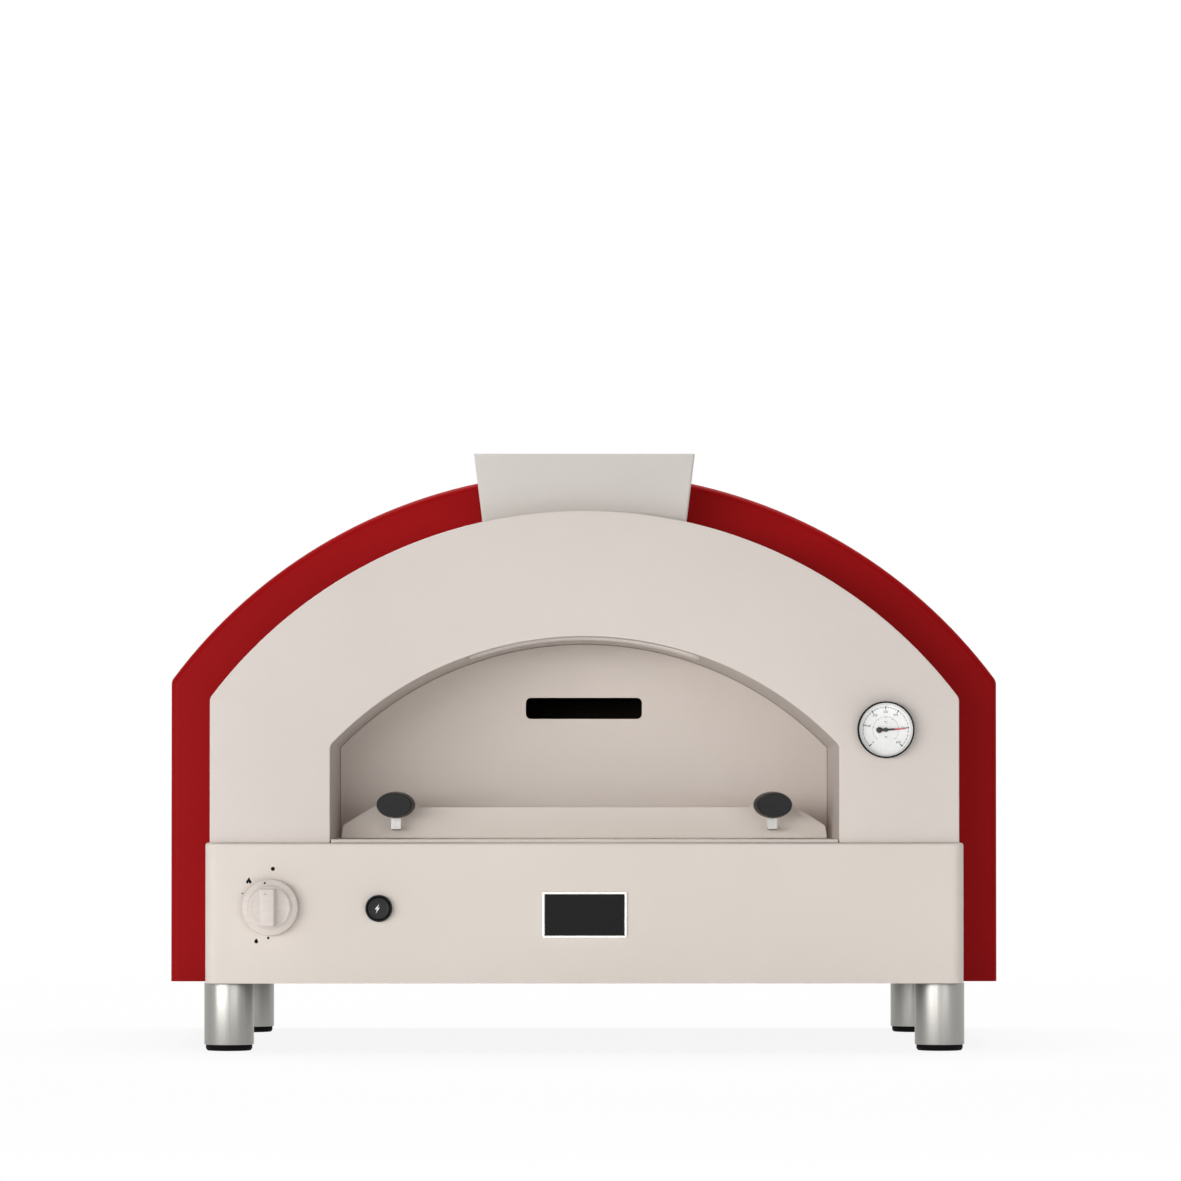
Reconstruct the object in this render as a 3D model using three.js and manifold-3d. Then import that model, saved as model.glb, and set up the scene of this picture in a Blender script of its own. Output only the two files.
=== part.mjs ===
// Portable gas pizza oven: a red insulated barrel vault behind a pale front casing,
// on a base box with four tube feet. Millimetres, +Z up, the mouth faces -Y.
// X is zero on the oven's middle plane. Depths run back from the control fascia's face.

import * as THREE from 'three';
import { mergeVertices } from 'three/addons/utils/BufferGeometryUtils.js';
import { ConvexGeometry } from 'three/addons/geometries/ConvexGeometry.js';
import Module from 'manifold-3d';

const wasm = await Module();
wasm.setup();

// Driving dimensions

const sheet = 1.5;            // wall of every folded steel panel
const seat = 0.3;             // gap between pieces that rest on each other
const overrun = 10;           // how far a cutting solid runs past what it cuts
const weld = 0.0001;          // points closer than this are one point

// An arch has straight sides up to its shoulder, and a crown over to its top.
const shell = { half: 407.4, shoulder: 357, top: 566.7, fillet: 10, bottom: 64 };
const casing = { stepIn: 43.6, shoulderDrop: 17.4, stepDown: 41.9, fillet: 9, face: 8 };
const mouth = { sideBand: 116.6, shoulderDrop: 46.6, crownBand: 122, fillet: 9 };
const base = { ledge: 4.2, top: 202, bottom: 66, corner: 12 };

const insulation = 76;        // blanket between the outer shell and the inner vault
const chamberDepth = 340;     // from the chamber's front frame to its rear wall
const rearInsulation = 60.1;  // from the chamber's rear wall to the shell's rear face
const throat = { length: 140, taper: 6, behindFace: 31.8 };
const gasLine = { fromVault: 24.9, aboveTray: 36, pipe: 10, clearance: 1 };

const panel = { bend: 7, flange: 14, bendSteps: 2 };   // dished end panels of the shell

const archSteps = 26;         // facets of a wide arch
const filletSteps = 3;        // facets of a small rounded corner
const roundSteps = 24;        // facets of a turned piece
const smallSteps = 16;        // facets of a small turned piece
const hexagon = 6;            // sides of a nut

// Sizes that follow from the driving dimensions

casing.half = shell.half - casing.stepIn;
casing.shoulder = shell.shoulder - casing.shoulderDrop;
casing.top = shell.top - casing.stepDown;
mouth.half = casing.half - mouth.sideBand;
mouth.shoulder = casing.shoulder - mouth.shoulderDrop;
mouth.top = casing.top - mouth.crownBand;
base.half = casing.half + base.ledge;

const casingBack = casing.face + sheet;
const throatFront = casingBack + seat;
const throatRear = throatFront + throat.length;
const frameFront = throatRear + seat;
const frameRear = frameFront + sheet;
const chamberFront = frameRear + seat;
const chamberRear = chamberFront + chamberDepth;
shell.face = throatRear - throat.behindFace;
shell.rear = chamberRear + rearInsulation;

const vaultInset = sheet + seat + insulation;
const vaultHalf = shell.half - vaultInset;
gasLine.x = gasLine.fromVault - vaultHalf;
gasLine.z = base.bottom + gasLine.aboveTray;

// Closed outlines and solids

const point = (x, y) => new THREE.Vector2(x, y);
const spot = (x, y, z) => new THREE.Vector3(x, y, z);

function arcPoints(x, y, radius, from, to, steps) {
  const points = [];
  for (let i = 0; i <= steps; i += 1) {
    const angle = from + (to - from) * i / steps;
    points.push(point(x + radius * Math.cos(angle), y + radius * Math.sin(angle)));
  }
  return points;
}

// The radius of the crown that passes through an arch's top and meets its shoulder fillets.
function crownRadius(arch) {
  const side = arch.half - arch.fillet;
  const rise = arch.top - arch.shoulder;
  return (side ** 2 + rise ** 2 - arch.fillet ** 2) / (2 * (rise - arch.fillet));
}

// An arch outline drawn in by inset, from its left foot over the top to its right foot.
function archPoints(arch, foot, inset = 0) {
  const half = arch.half - inset;
  const radius = crownRadius(arch) - inset;
  const centre = arch.top - crownRadius(arch);
  const fillet = Math.max(arch.fillet - inset, seat);
  const side = half - fillet;
  const rise = Math.sqrt((radius - fillet) ** 2 - side ** 2);
  const shoulder = centre + rise;
  const turn = Math.atan2(rise, side);
  return [
    point(-half, foot),
    ...arcPoints(-side, shoulder, fillet, Math.PI, Math.PI - turn, filletSteps),
    ...arcPoints(0, centre, radius, Math.PI - turn, turn, archSteps).slice(1, -1),
    ...arcPoints(side, shoulder, fillet, turn, 0, filletSteps),
    point(half, foot),
  ];
}

// A rounded rectangle round a centre.
function roundedRectangle(x, y, width, height, radius, steps = filletSteps) {
  const right = x + width / 2 - radius;
  const left = x - width / 2 + radius;
  const top = y + height / 2 - radius;
  const bottom = y - height / 2 + radius;
  const quarter = Math.PI / 2;
  return [
    ...arcPoints(right, top, radius, 0, quarter, steps),
    ...arcPoints(left, top, radius, quarter, 2 * quarter, steps),
    ...arcPoints(left, bottom, radius, 2 * quarter, 3 * quarter, steps),
    ...arcPoints(right, bottom, radius, 3 * quarter, 4 * quarter, steps),
  ];
}

const circle = (x, y, radius, steps) => arcPoints(x, y, radius, 0, 2 * Math.PI, steps).slice(0, -1);

function shapeOf(points, holes = []) {
  const shape = new THREE.Shape(points);
  for (const hole of holes) {
    shape.holes.push(new THREE.Path(hole));
  }
  return shape;
}

// An outline in X and Z, given depth from front to rear.
function plate(points, front, rear, holes = []) {
  const geometry = new THREE.ExtrudeGeometry(shapeOf(points, holes), {
    depth: rear - front,
    bevelEnabled: false,
  });
  return geometry.rotateX(Math.PI / 2).translate(0, rear, 0);
}

// An outline in X and Y, given height from low to high.
function slab(points, low, high, holes = []) {
  const geometry = new THREE.ExtrudeGeometry(shapeOf(points, holes), {
    depth: high - low,
    bevelEnabled: false,
  });
  return geometry.translate(0, 0, low);
}

// An outline in Y and Z, given width from left to right.
function runAcross(points, left, right) {
  const geometry = new THREE.ExtrudeGeometry(shapeOf(points), {
    depth: right - left,
    bevelEnabled: false,
  });
  return geometry.rotateY(Math.PI / 2).rotateX(Math.PI / 2).translate(left, 0, 0);
}

function block(left, right, front, rear, low, high) {
  return new THREE.BoxGeometry(right - left, rear - front, high - low)
    .translate((left + right) / 2, (front + rear) / 2, (low + high) / 2);
}

// A turned piece from [radius, height] pairs, standing on Z.
function turned(profile, steps = roundSteps) {
  const points = profile.map(([radius, height]) => point(radius, height));
  return new THREE.LatheGeometry(points, steps).rotateX(Math.PI / 2);
}

// A turned piece from [radius, reach] pairs, reaching back from its place along +Y.
function turnedBack(profile, steps = roundSteps) {
  const points = profile.map(([radius, reach]) => point(radius, reach));
  return new THREE.LatheGeometry(points, steps);
}

// A round bar between two depths.
function barBack(radius, front, rear, steps = smallSteps) {
  return new THREE.CylinderGeometry(radius, radius, rear - front, steps)
    .translate(0, (front + rear) / 2, 0);
}

// A round bar between two heights.
function barUp(radius, low, high, steps = smallSteps) {
  return new THREE.CylinderGeometry(radius, radius, high - low, steps)
    .rotateX(Math.PI / 2)
    .translate(0, 0, (low + high) / 2);
}

// A folded sheet: open rings of equal count, joined one to the next and back to the first.
// The outer rings run front to rear, and the inner ones rear to front.
function foldedSheet(rings) {
  const count = rings[0].length;
  const positions = rings.flat().flatMap((p) => [p.x, p.y, p.z]);
  const faces = [];
  rings.forEach((ring, k) => {
    const next = ((k + 1) % rings.length) * count;
    const here = k * count;
    for (let i = 0; i + 1 < count; i += 1) {
      faces.push(here + i, next + i + 1, next + i);
      faces.push(here + i, here + i + 1, next + i + 1);
    }
  });
  const footLoop = rings.map((ring) => point(ring[0].x, ring[0].y));
  for (const [a, b, c] of THREE.ShapeUtils.triangulateShape(footLoop, [])) {
    faces.push(a * count, c * count, b * count);
  }
  const last = count - 1;
  const headLoop = rings.map((ring) => point(ring[last].x, ring[last].y));
  for (const [a, b, c] of THREE.ShapeUtils.triangulateShape(headLoop, [])) {
    faces.push(a * count + last, c * count + last, b * count + last);
  }
  const geometry = new THREE.BufferGeometry();
  geometry.setAttribute('position', new THREE.Float32BufferAttribute(positions, 3));
  geometry.setIndex(faces);
  return geometry;
}

// An arch outline as one ring of a folded sheet, at a depth.
function archRing(arch, foot, inset, depth) {
  return archPoints(arch, foot, inset).map((p) => spot(p.x, depth, p.y));
}

// A tube along a path of straight runs joined by round bends.
function pipeAlong(corners, bend, radius, steps, sides) {
  const path = new THREE.CurvePath();
  let start = corners[0];
  for (let i = 1; i + 1 < corners.length; i += 1) {
    const back = corners[i - 1].clone().sub(corners[i]).setLength(bend);
    const on = corners[i + 1].clone().sub(corners[i]).setLength(bend);
    const before = corners[i].clone().add(back);
    const after = corners[i].clone().add(on);
    path.add(new THREE.LineCurve3(start, before));
    path.add(new THREE.QuadraticBezierCurve3(before, corners[i], after));
    start = after;
  }
  path.add(new THREE.LineCurve3(start, corners.at(-1)));
  return new THREE.ExtrudeGeometry(shapeOf(circle(0, 0, radius, sides)), {
    extrudePath: path,
    steps,
    bevelEnabled: false,
  });
}

// Cutting and joining

function toSolid(geometry) {
  const bare = new THREE.BufferGeometry();
  bare.setAttribute('position', geometry.getAttribute('position').clone());
  if (geometry.index) {
    bare.setIndex(geometry.index.clone());
  }
  const merged = mergeVertices(bare, weld);
  const corners = merged.index.array;
  const kept = [];
  for (let i = 0; i < corners.length; i += 3) {
    const [a, b, c] = [corners[i], corners[i + 1], corners[i + 2]];
    if (a !== b && b !== c && c !== a) {
      kept.push(a, b, c);
    }
  }
  return new wasm.Manifold(new wasm.Mesh({
    numProp: 3,
    vertProperties: new Float32Array(merged.getAttribute('position').array),
    triVerts: new Uint32Array(kept),
  }));
}

function toGeometry(solid) {
  const mesh = solid.getMesh();
  const geometry = new THREE.BufferGeometry();
  geometry.setAttribute('position', new THREE.BufferAttribute(mesh.vertProperties, 3));
  geometry.setIndex(new THREE.BufferAttribute(mesh.triVerts, 1));
  return geometry;
}

function cut(geometry, ...tools) {
  let solid = toSolid(geometry);
  for (const tool of tools) {
    solid = solid.subtract(toSolid(tool));
  }
  return toGeometry(solid);
}

function join(first, ...others) {
  let solid = toSolid(first);
  for (const other of others) {
    solid = solid.add(toSolid(other));
  }
  return toGeometry(solid);
}

// Finishes

const finish = (color, roughness, metalness) => ({ color, roughness, metalness });
const creamPaint = finish(0xd9cfc9, 0.45, 0.1);
const redPaint = finish(0x9b181d, 0.4, 0.15);
const brushedSteel = finish(0xb9b7b3, 0.35, 1);
const darkSteel = finish(0x55514e, 0.5, 0.8);
const brass = finish(0xb08d4a, 0.35, 1);
const blackPlastic = finish(0x16161a, 0.35, 0);
const blackRubber = finish(0x1c1c1e, 0.85, 0);
const woolBlanket = finish(0xe6e2d8, 0.95, 0);
const bakingStone = finish(0xc9b79c, 0.9, 0);
const whiteCeramic = finish(0xf0efe9, 0.3, 0);
const copper = finish(0xb06a45, 0.35, 1);
const dialWhite = finish(0xf2f1ec, 0.5, 0);
const clearGlass = finish(0xe8f0f0, 0.05, 0);
const redSleeve = finish(0xa02a22, 0.6, 0);

const oven = new THREE.Group();

function addPiece(name, geometry, look, parent = oven) {
  const mesh = new THREE.Mesh(geometry, new THREE.MeshStandardMaterial(look));
  mesh.name = name;
  parent.add(mesh);
  return mesh;
}

function addPlace(x, y, z, parent = oven) {
  const place = new THREE.Group();
  place.position.set(x, y, z);
  parent.add(place);
  return place;
}

// Base tray

const tray = {
  front: sheet + seat,
  rear: shell.rear - panel.bend - seat,
  step: shell.face + panel.bend + seat,
  frontHalf: base.half - sheet - seat,
  rearHalf: shell.half - sheet - seat,
  low: base.bottom,
  rim: 22,
};

function trayOutline(inset) {
  const narrow = tray.frontHalf - inset;
  const wide = tray.rearHalf - inset;
  const corner = base.corner - tray.front - inset;
  const side = base.half - base.corner;
  return [
    ...arcPoints(-side, base.corner, corner, Math.PI, 1.5 * Math.PI, filletSteps),
    ...arcPoints(side, base.corner, corner, 1.5 * Math.PI, 2 * Math.PI, filletSteps),
    point(narrow, tray.step + inset),
    point(wide, tray.step + inset),
    point(wide, tray.rear - inset),
    point(-wide, tray.rear - inset),
    point(-wide, tray.step + inset),
    point(-narrow, tray.step + inset),
  ];
}

addPiece('base_tray', cut(
  slab(trayOutline(0), tray.low, tray.low + tray.rim),
  slab(trayOutline(sheet), tray.low + sheet, tray.low + tray.rim + overrun),
), darkSteel);

// Feet

const foot = {
  radius: 24.15,
  wall: 1.6,
  frontDepth: 35,
  frontOut: 2.1,               // the front pair stands this much further out than the rear pair
  fromRear: 87,
  padRadius: 22.6,
  padHeight: 5.5,
  plugHeight: 16,
};
foot.x = base.half - foot.radius;
foot.rearDepth = shell.rear - foot.fromRear;

function footTube() {
  const bore = foot.radius - foot.wall;
  const low = foot.padHeight + seat;
  const high = tray.low - seat;
  return turned([[bore, low], [foot.radius, low], [foot.radius, high], [bore, high], [bore, low]]);
}

function footPad() {
  const plug = foot.radius - foot.wall - seat;
  const top = foot.padHeight + foot.plugHeight;
  return turned([
    [0, 0], [foot.padRadius, 0], [foot.padRadius, foot.padHeight],
    [plug, foot.padHeight], [plug, top], [0, top],
  ]);
}

for (const [side, sign] of [['left', -1], ['right', 1]]) {
  const pairs = [['front', foot.frontOut, foot.frontDepth], ['rear', 0, foot.rearDepth]];
  for (const [end, out, depth] of pairs) {
    const place = addPlace(sign * (foot.x + out), depth, 0);
    addPiece(`foot_tube_${end}_${side}`, footTube(), brushedSteel, place);
    addPiece(`foot_pad_${end}_${side}`, footPad(), blackRubber, place);
  }
}

// Control fascia: front, sides and the shelf that carries the casing

const knobHeight = 74;         // control knob's axis above the base's foot
const igniterSpacing = { across: 105.3, down: 1.2 };
const controls = { knobX: gasLine.x, knobZ: base.bottom + knobHeight };
controls.igniterX = controls.knobX + igniterSpacing.across;
controls.igniterZ = controls.knobZ - igniterSpacing.down;
const plunger = { radius: 6, hole: 9, rear: 40 };
const igniter = {
  bezelRadius: 13.1,
  bezelReach: 6,
  barrelRadius: 11,
  barrelLength: 34,
  faceRadius: 10.3,
  buttonReach: 9,
  travel: 3,
};
const feedPipe = { depth: 45, bend: 12 };
const leadHole = { fromBurner: 28.7, behindFace: 26, radius: 5 };
leadHole.x = gasLine.x + leadHole.fromBurner;
leadHole.depth = shell.face - leadHole.behindFace;

function fasciaPlan(inset) {
  const half = base.half - inset;
  const corner = base.corner - inset;
  return [
    point(-half, shell.face - seat + inset),
    ...arcPoints(-base.half + base.corner, base.corner, corner, Math.PI, 1.5 * Math.PI, filletSteps),
    ...arcPoints(base.half - base.corner, base.corner, corner, 1.5 * Math.PI, 2 * Math.PI, filletSteps),
    point(half, shell.face - seat + inset),
  ];
}

function fasciaShell() {
  const rear = shell.face - seat;
  const outer = slab(fasciaPlan(0), base.bottom, base.top);
  const hollow = slab(
    [point(-base.half + sheet, rear + overrun), ...fasciaPlan(sheet).slice(1, -1),
      point(base.half - sheet, rear + overrun)],
    base.bottom - overrun,
    base.top - sheet,
  );
  return cut(outer, hollow);
}

const pipeClear = gasLine.pipe / 2 + gasLine.clearance;

addPiece('control_fascia', cut(
  fasciaShell(),
  barBack(plunger.hole, -overrun, overrun).translate(controls.knobX, 0, controls.knobZ),
  barBack(igniter.barrelRadius + seat, -overrun, overrun).translate(controls.igniterX, 0, controls.igniterZ),
  barUp(pipeClear, base.top - overrun, base.top + overrun).translate(gasLine.x, feedPipe.depth, 0),
  barUp(leadHole.radius, base.top - overrun, base.top + overrun).translate(leadHole.x, leadHole.depth, 0),
), creamPaint);

// Badge, left bare

const badge = {
  width: 81.7,
  height: 44.5,
  rise: 66.4,
  rim: 2.2,
  radius: 1.5,
  frameReach: 2.4,
  plateReach: 1.4,
};
badge.z = base.bottom + badge.rise;

function badgeOutline(inset) {
  const width = badge.width - 2 * inset;
  const height = badge.height - 2 * inset;
  return roundedRectangle(0, badge.z, width, height, badge.radius - inset / 2);
}

addPiece('badge_frame', plate(badgeOutline(0), -badge.frameReach, -seat, [badgeOutline(badge.rim)]),
  brushedSteel);
addPiece('badge_plate', plate(badgeOutline(badge.rim + seat), -badge.plateReach, -seat), darkSteel);

// Front casing: arch plate, skirt, throat and sill

const edge = 1;               // softened edge of a folded front face
const standing = base.top + seat;

const gauge = {
  fromMouth: 45.2,
  belowShoulder: 27.7,
  bezelRadius: 27.6,
  caseRadius: 26.2,
  caseWall: 1.4,
  caseReach: 9,
  lipRadius: 24.4,
  lipReach: 11,
  glassLow: 7.1,
  glassThick: 1.5,
  dialLow: 2.2,
  dialThick: 0.8,
  needleLow: 4.2,
  needleThick: 0.8,
  spindleRadius: 1.2,
  probeRadius: 3,
  probeInside: 31.1,
  nutRadius: 9,
  nutThick: 5,
};
gauge.x = mouth.half + gauge.fromMouth;
gauge.z = casing.shoulder - gauge.belowShoulder;
gauge.probeTip = chamberFront + gauge.probeInside - casing.face;

function gaugeHole(front, rear, clearance) {
  return barBack(gauge.probeRadius + clearance, front, rear).translate(gauge.x, 0, gauge.z);
}

addPiece('front_arch_plate', cut(
  foldedSheet([
    archRing(casing, standing, edge, casing.face),
    archRing(casing, standing, 0, casing.face + edge),
    archRing(casing, standing, 0, casingBack),
    archRing(mouth, standing, 0, casingBack),
    archRing(mouth, standing, 0, casing.face + edge),
    archRing(mouth, standing, -edge, casing.face),
  ]),
  gaugeHole(0, casingBack + overrun, seat),
), creamPaint);

const hood = {
  tuck: 44.8,
  rise: 55.8,
  topHalf: 107.5,
  behindPlate: 8.5,
  fromShell: 4,
  slope: 0.12,
};
hood.low = casing.top - hood.tuck;
hood.top = casing.top + hood.rise;
hood.topFront = casingBack + hood.behindPlate;
hood.topRear = shell.face - hood.fromShell;

const flue = {
  side: 13.5,
  frontGap: 10,
  rearGap: 14,
  rise: 5.2,
  slope: 0.124,
};
flue.topHalf = hood.topHalf - flue.side;
flue.front = hood.topFront + flue.frontGap;
flue.rear = hood.topRear - flue.rearGap;
flue.top = casing.top + flue.rise;
const skirtTuck = 10;         // how far the skirt reaches in behind the red panel's face

// The duct's tapering body, wider at its foot, grown by grow, between two heights.
function ductBody(grow, low, high) {
  const corners = [];
  for (const z of [low, high]) {
    const half = flue.topHalf + flue.slope * (flue.top - z) + grow;
    for (const x of [-half, half]) {
      corners.push(spot(x, flue.front - grow, z));
      corners.push(spot(x, flue.rear + grow, z));
    }
  }
  return new ConvexGeometry(corners);
}

addPiece('front_arch_skirt', cut(
  foldedSheet([
    archRing(casing, standing, 0, throatFront),
    archRing(casing, standing, 0, shell.face + skirtTuck),
    archRing(casing, standing, sheet, shell.face + skirtTuck),
    archRing(casing, standing, sheet, throatFront),
  ]),
  ductBody(seat, mouth.top, casing.top + overrun),
), creamPaint);

addPiece('throat_arch', cut(
  foldedSheet([
    archRing(mouth, standing, -sheet, throatFront),
    archRing(mouth, standing, throat.taper - sheet, throatRear),
    archRing(mouth, standing, throat.taper, throatRear),
    archRing(mouth, standing, 0, throatFront),
  ]),
  ductBody(seat, mouth.shoulder, casing.top),
), creamPaint);

const sill = { thick: 3.2, clearance: 0.8 };
const sillTop = standing + sill.thick;
const throatHalf = (depth) => mouth.half - throat.taper * (depth - throatFront) / throat.length;

addPiece('mouth_sill', slab([
  point(-mouth.half + sill.clearance, casing.face + edge),
  point(mouth.half - sill.clearance, casing.face + edge),
  point(throatHalf(throatRear) - sill.clearance, throatRear),
  point(-throatHalf(throatRear) + sill.clearance, throatRear),
], standing, sillTop), creamPaint);

// Flue: duct from the throat's ceiling, and the flared hood round it

const throatBore = plate(
  archPoints(mouth, standing - overrun, throat.taper / 2), -overrun, throatRear + overrun,
);

addPiece('flue_duct', cut(
  ductBody(0, mouth.shoulder, flue.top),
  ductBody(-sheet, mouth.shoulder - overrun, flue.top + overrun),
  throatBore,
), creamPaint);

// The flared box of the hood, drawn in by inset and run past its ends.
function flaredBox(inset, past) {
  const low = hood.low - past;
  const high = hood.top + past;
  const corners = [];
  for (const z of [low, high]) {
    const flare = hood.slope * (hood.top - z) + inset;
    for (const x of [-hood.topHalf + flare, hood.topHalf - flare]) {
      corners.push(spot(x, hood.topFront + flare, z));
      corners.push(spot(x, hood.topRear - flare, z));
    }
  }
  return new ConvexGeometry(corners);
}

addPiece('flue_hood', cut(
  flaredBox(0, 0),
  flaredBox(sheet, overrun),
  plate(archPoints(casing, standing, -seat), -overrun, shell.face + overrun),
), creamPaint);

// Red outer shell: front panel, wrapped skin and rear panel

// A dished end panel of the shell, its flange reaching inwards along Y by the sign of inward.
function endPanel(face, inward) {
  const ring = (inset, reach) => archRing(shell, shell.bottom, inset, face + inward * reach);
  const bendRing = (radius, step) => {
    const angle = Math.PI / 2 * step / panel.bendSteps;
    return ring(panel.bend - radius * Math.sin(angle), panel.bend - radius * Math.cos(angle));
  };
  const steps = [...Array(panel.bendSteps + 1).keys()];
  const rings = [
    archRing(casing, shell.bottom, overrun, face),
    ...steps.map((step) => bendRing(panel.bend, step)),
    ring(0, panel.flange),
    ring(sheet, panel.flange),
    ...steps.reverse().map((step) => bendRing(panel.bend - sheet, step)),
    archRing(casing, shell.bottom, overrun, face + inward * sheet),
  ];
  return foldedSheet(inward > 0 ? rings : rings.reverse());
}

const passage = shell.face + overrun;

addPiece('shell_front_panel', cut(
  endPanel(shell.face, 1),
  plate(archPoints(casing, shell.bottom - overrun, -seat), shell.face - overrun, passage),
  block(-base.half - seat, base.half + seat, shell.face - overrun, passage, 0, standing),
), redPaint);

addPiece('shell_skin', foldedSheet([
  archRing(shell, shell.bottom, 0, shell.face + panel.flange + seat),
  archRing(shell, shell.bottom, 0, shell.rear - panel.flange - seat),
  archRing(shell, shell.bottom, sheet, shell.rear - panel.flange - seat),
  archRing(shell, shell.bottom, sheet, shell.face + panel.flange + seat),
]), redPaint);

const vents = { count: 7, pitch: 70, width: 46, height: 6, rise: 86 };
vents.z = shell.bottom + vents.rise;
const inlet = {
  hexRadius: 11,
  threadRadius: 8,
  boreRadius: 5,
  boreDepth: 14,
  inside: 20,
  collar: 7,
  reach: 28,
};

function ventSlots() {
  const slots = [];
  for (let i = 0; i < vents.count; i += 1) {
    const x = (i - (vents.count - 1) / 2) * vents.pitch;
    const outline = roundedRectangle(x, vents.z, vents.width, vents.height, vents.height / 2);
    slots.push(plate(outline, shell.rear - overrun, shell.rear + overrun));
  }
  return slots;
}

addPiece('rear_panel', cut(
  join(
    endPanel(shell.rear, -1),
    plate(archPoints(shell, shell.bottom, panel.bend), shell.rear - sheet, shell.rear),
  ),
  ...ventSlots(),
  barBack(inlet.threadRadius + seat, shell.rear - overrun, shell.rear + overrun)
    .translate(gasLine.x, 0, gasLine.z),
), redPaint);

// Chamber: rails, vault, front frame, rear wall and insulation

const rail = { height: 50, flange: 24, outward: 3 };
const railLow = tray.low + sheet + seat;
const railTop = railLow + rail.height;
const chamberFoot = railTop + seat;

function railOutline(sign) {
  const outer = vaultHalf + rail.outward;
  const inner = outer - rail.flange;
  return [
    point(sign * inner, railLow),
    point(sign * outer, railLow),
    point(sign * outer, railTop),
    point(sign * inner, railTop),
    point(sign * inner, railTop - sheet),
    point(sign * (outer - sheet), railTop - sheet),
    point(sign * (outer - sheet), railLow + sheet),
    point(sign * inner, railLow + sheet),
  ];
}

for (const [side, sign] of [['left', -1], ['right', 1]]) {
  addPiece(`floor_rail_${side}`, plate(railOutline(sign), frameFront, chamberRear + sheet), darkSteel);
}

const burner = {
  aboveSill: 19.5,
  radius: 13,
  wall: 1.2,
  mixer: 21.8,
  endGap: 21.9,
  portStart: 33.1,
  portEnd: 62,
  portWidth: 2,
  portLength: 9,
  portPitch: 22,
};
burner.z = sillTop + burner.aboveSill;
burner.front = throatRear - burner.mixer;
burner.rear = chamberRear - burner.endGap;
burner.portFront = chamberFront + burner.portStart;
burner.portCount = Math.floor((chamberRear - burner.portEnd - burner.portFront) / burner.portPitch) + 1;

const electrode = { aboveBurner: 27, radius: 3.4, outside: 11.2, inside: 20.1, wire: 1, spark: 16 };
electrode.x = leadHole.x;
electrode.z = burner.z + electrode.aboveBurner;
electrode.front = throatRear - electrode.outside;
electrode.rear = chamberFront + electrode.inside;
electrode.tip = electrode.rear + electrode.spark;
const doorRebate = 8;

const doorwayOutline = archPoints(mouth, sillTop, throat.taper + doorRebate);

addPiece('chamber_front_frame', cut(
  plate(archPoints(shell, chamberFoot, vaultInset), frameFront, frameRear, [
    circle(gasLine.x, burner.z, burner.radius + seat, smallSteps),
    circle(electrode.x, electrode.z, electrode.radius + seat, smallSteps),
    circle(gauge.x, gauge.z, gauge.probeRadius + seat, smallSteps),
  ]),
  plate(doorwayOutline, frameFront - overrun, frameRear + overrun),
), brushedSteel);

addPiece('inner_vault', foldedSheet([
  archRing(shell, chamberFoot, vaultInset, chamberFront),
  archRing(shell, chamberFoot, vaultInset, chamberRear - seat),
  archRing(shell, chamberFoot, vaultInset + sheet, chamberRear - seat),
  archRing(shell, chamberFoot, vaultInset + sheet, chamberFront),
]), brushedSteel);

addPiece('chamber_rear_wall', plate(
  archPoints(shell, chamberFoot, vaultInset), chamberRear, chamberRear + sheet,
), brushedSteel);

const blanketInset = sheet + seat;
const blanketRear = shell.rear - panel.bend - seat;

addPiece('insulation_blanket', join(
  foldedSheet([
    archRing(shell, chamberFoot, blanketInset, chamberFront),
    archRing(shell, chamberFoot, blanketInset, blanketRear),
    archRing(shell, chamberFoot, vaultInset - seat, blanketRear),
    archRing(shell, chamberFoot, vaultInset - seat, chamberFront),
  ]),
  plate(archPoints(shell, chamberFoot, blanketInset), chamberRear + sheet + seat, blanketRear),
), woolBlanket);

// Chamber floor: pan, insulation board and two tiles

const pan = { half: vaultHalf - sheet - seat, rear: chamberRear - seat, belowTiles: 8.9 };
const tile = { thick: 15, fromBurner: 54.7, joint: 0.6, below: 2.5 };
tile.left = gasLine.x + tile.fromBurner;
const tileTop = sillTop - tile.below;
const boardTop = tileTop - tile.thick - seat;
const boardHalf = pan.half - sheet - seat;
const boardFront = chamberFront + sheet + seat;
const boardRear = pan.rear - sheet - seat;
const panTop = tileTop - pan.belowTiles;

addPiece('floor_pan', cut(
  block(-pan.half, pan.half, chamberFront, pan.rear, chamberFoot, panTop),
  block(-pan.half + sheet, pan.half - sheet, chamberFront + sheet, pan.rear - sheet,
    chamberFoot + sheet, panTop + overrun),
), brushedSteel);

addPiece('insulation_board',
  block(-boardHalf, boardHalf, boardFront, boardRear, chamberFoot + sheet + seat, boardTop),
  woolBlanket);

const tileMiddle = (tile.left + boardHalf) / 2;
const tileLow = boardTop + seat;

addPiece('floor_tile_left',
  block(tile.left, tileMiddle - tile.joint / 2, boardFront, boardRear, tileLow, tileTop), bakingStone);
addPiece('floor_tile_right',
  block(tileMiddle + tile.joint / 2, boardHalf, boardFront, boardRear, tileLow, tileTop), bakingStone);

// Burner along the left wall, its saddle and guard

function burnerTube() {
  const bore = burner.radius - burner.wall;
  const tube = turnedBack([
    [0, burner.rear - burner.wall],
    [bore, burner.rear - burner.wall],
    [bore, burner.front],
    [burner.radius, burner.front],
    [burner.radius, burner.rear],
    [0, burner.rear],
  ]);
  const ports = [];
  for (let i = 0; i < burner.portCount; i += 1) {
    const depth = burner.portFront + i * burner.portPitch;
    ports.push(block(0, burner.radius + overrun, depth, depth + burner.portWidth,
      burner.wall, burner.wall + burner.portLength));
  }
  return cut(tube, ...ports).translate(gasLine.x, 0, burner.z);
}

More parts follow.
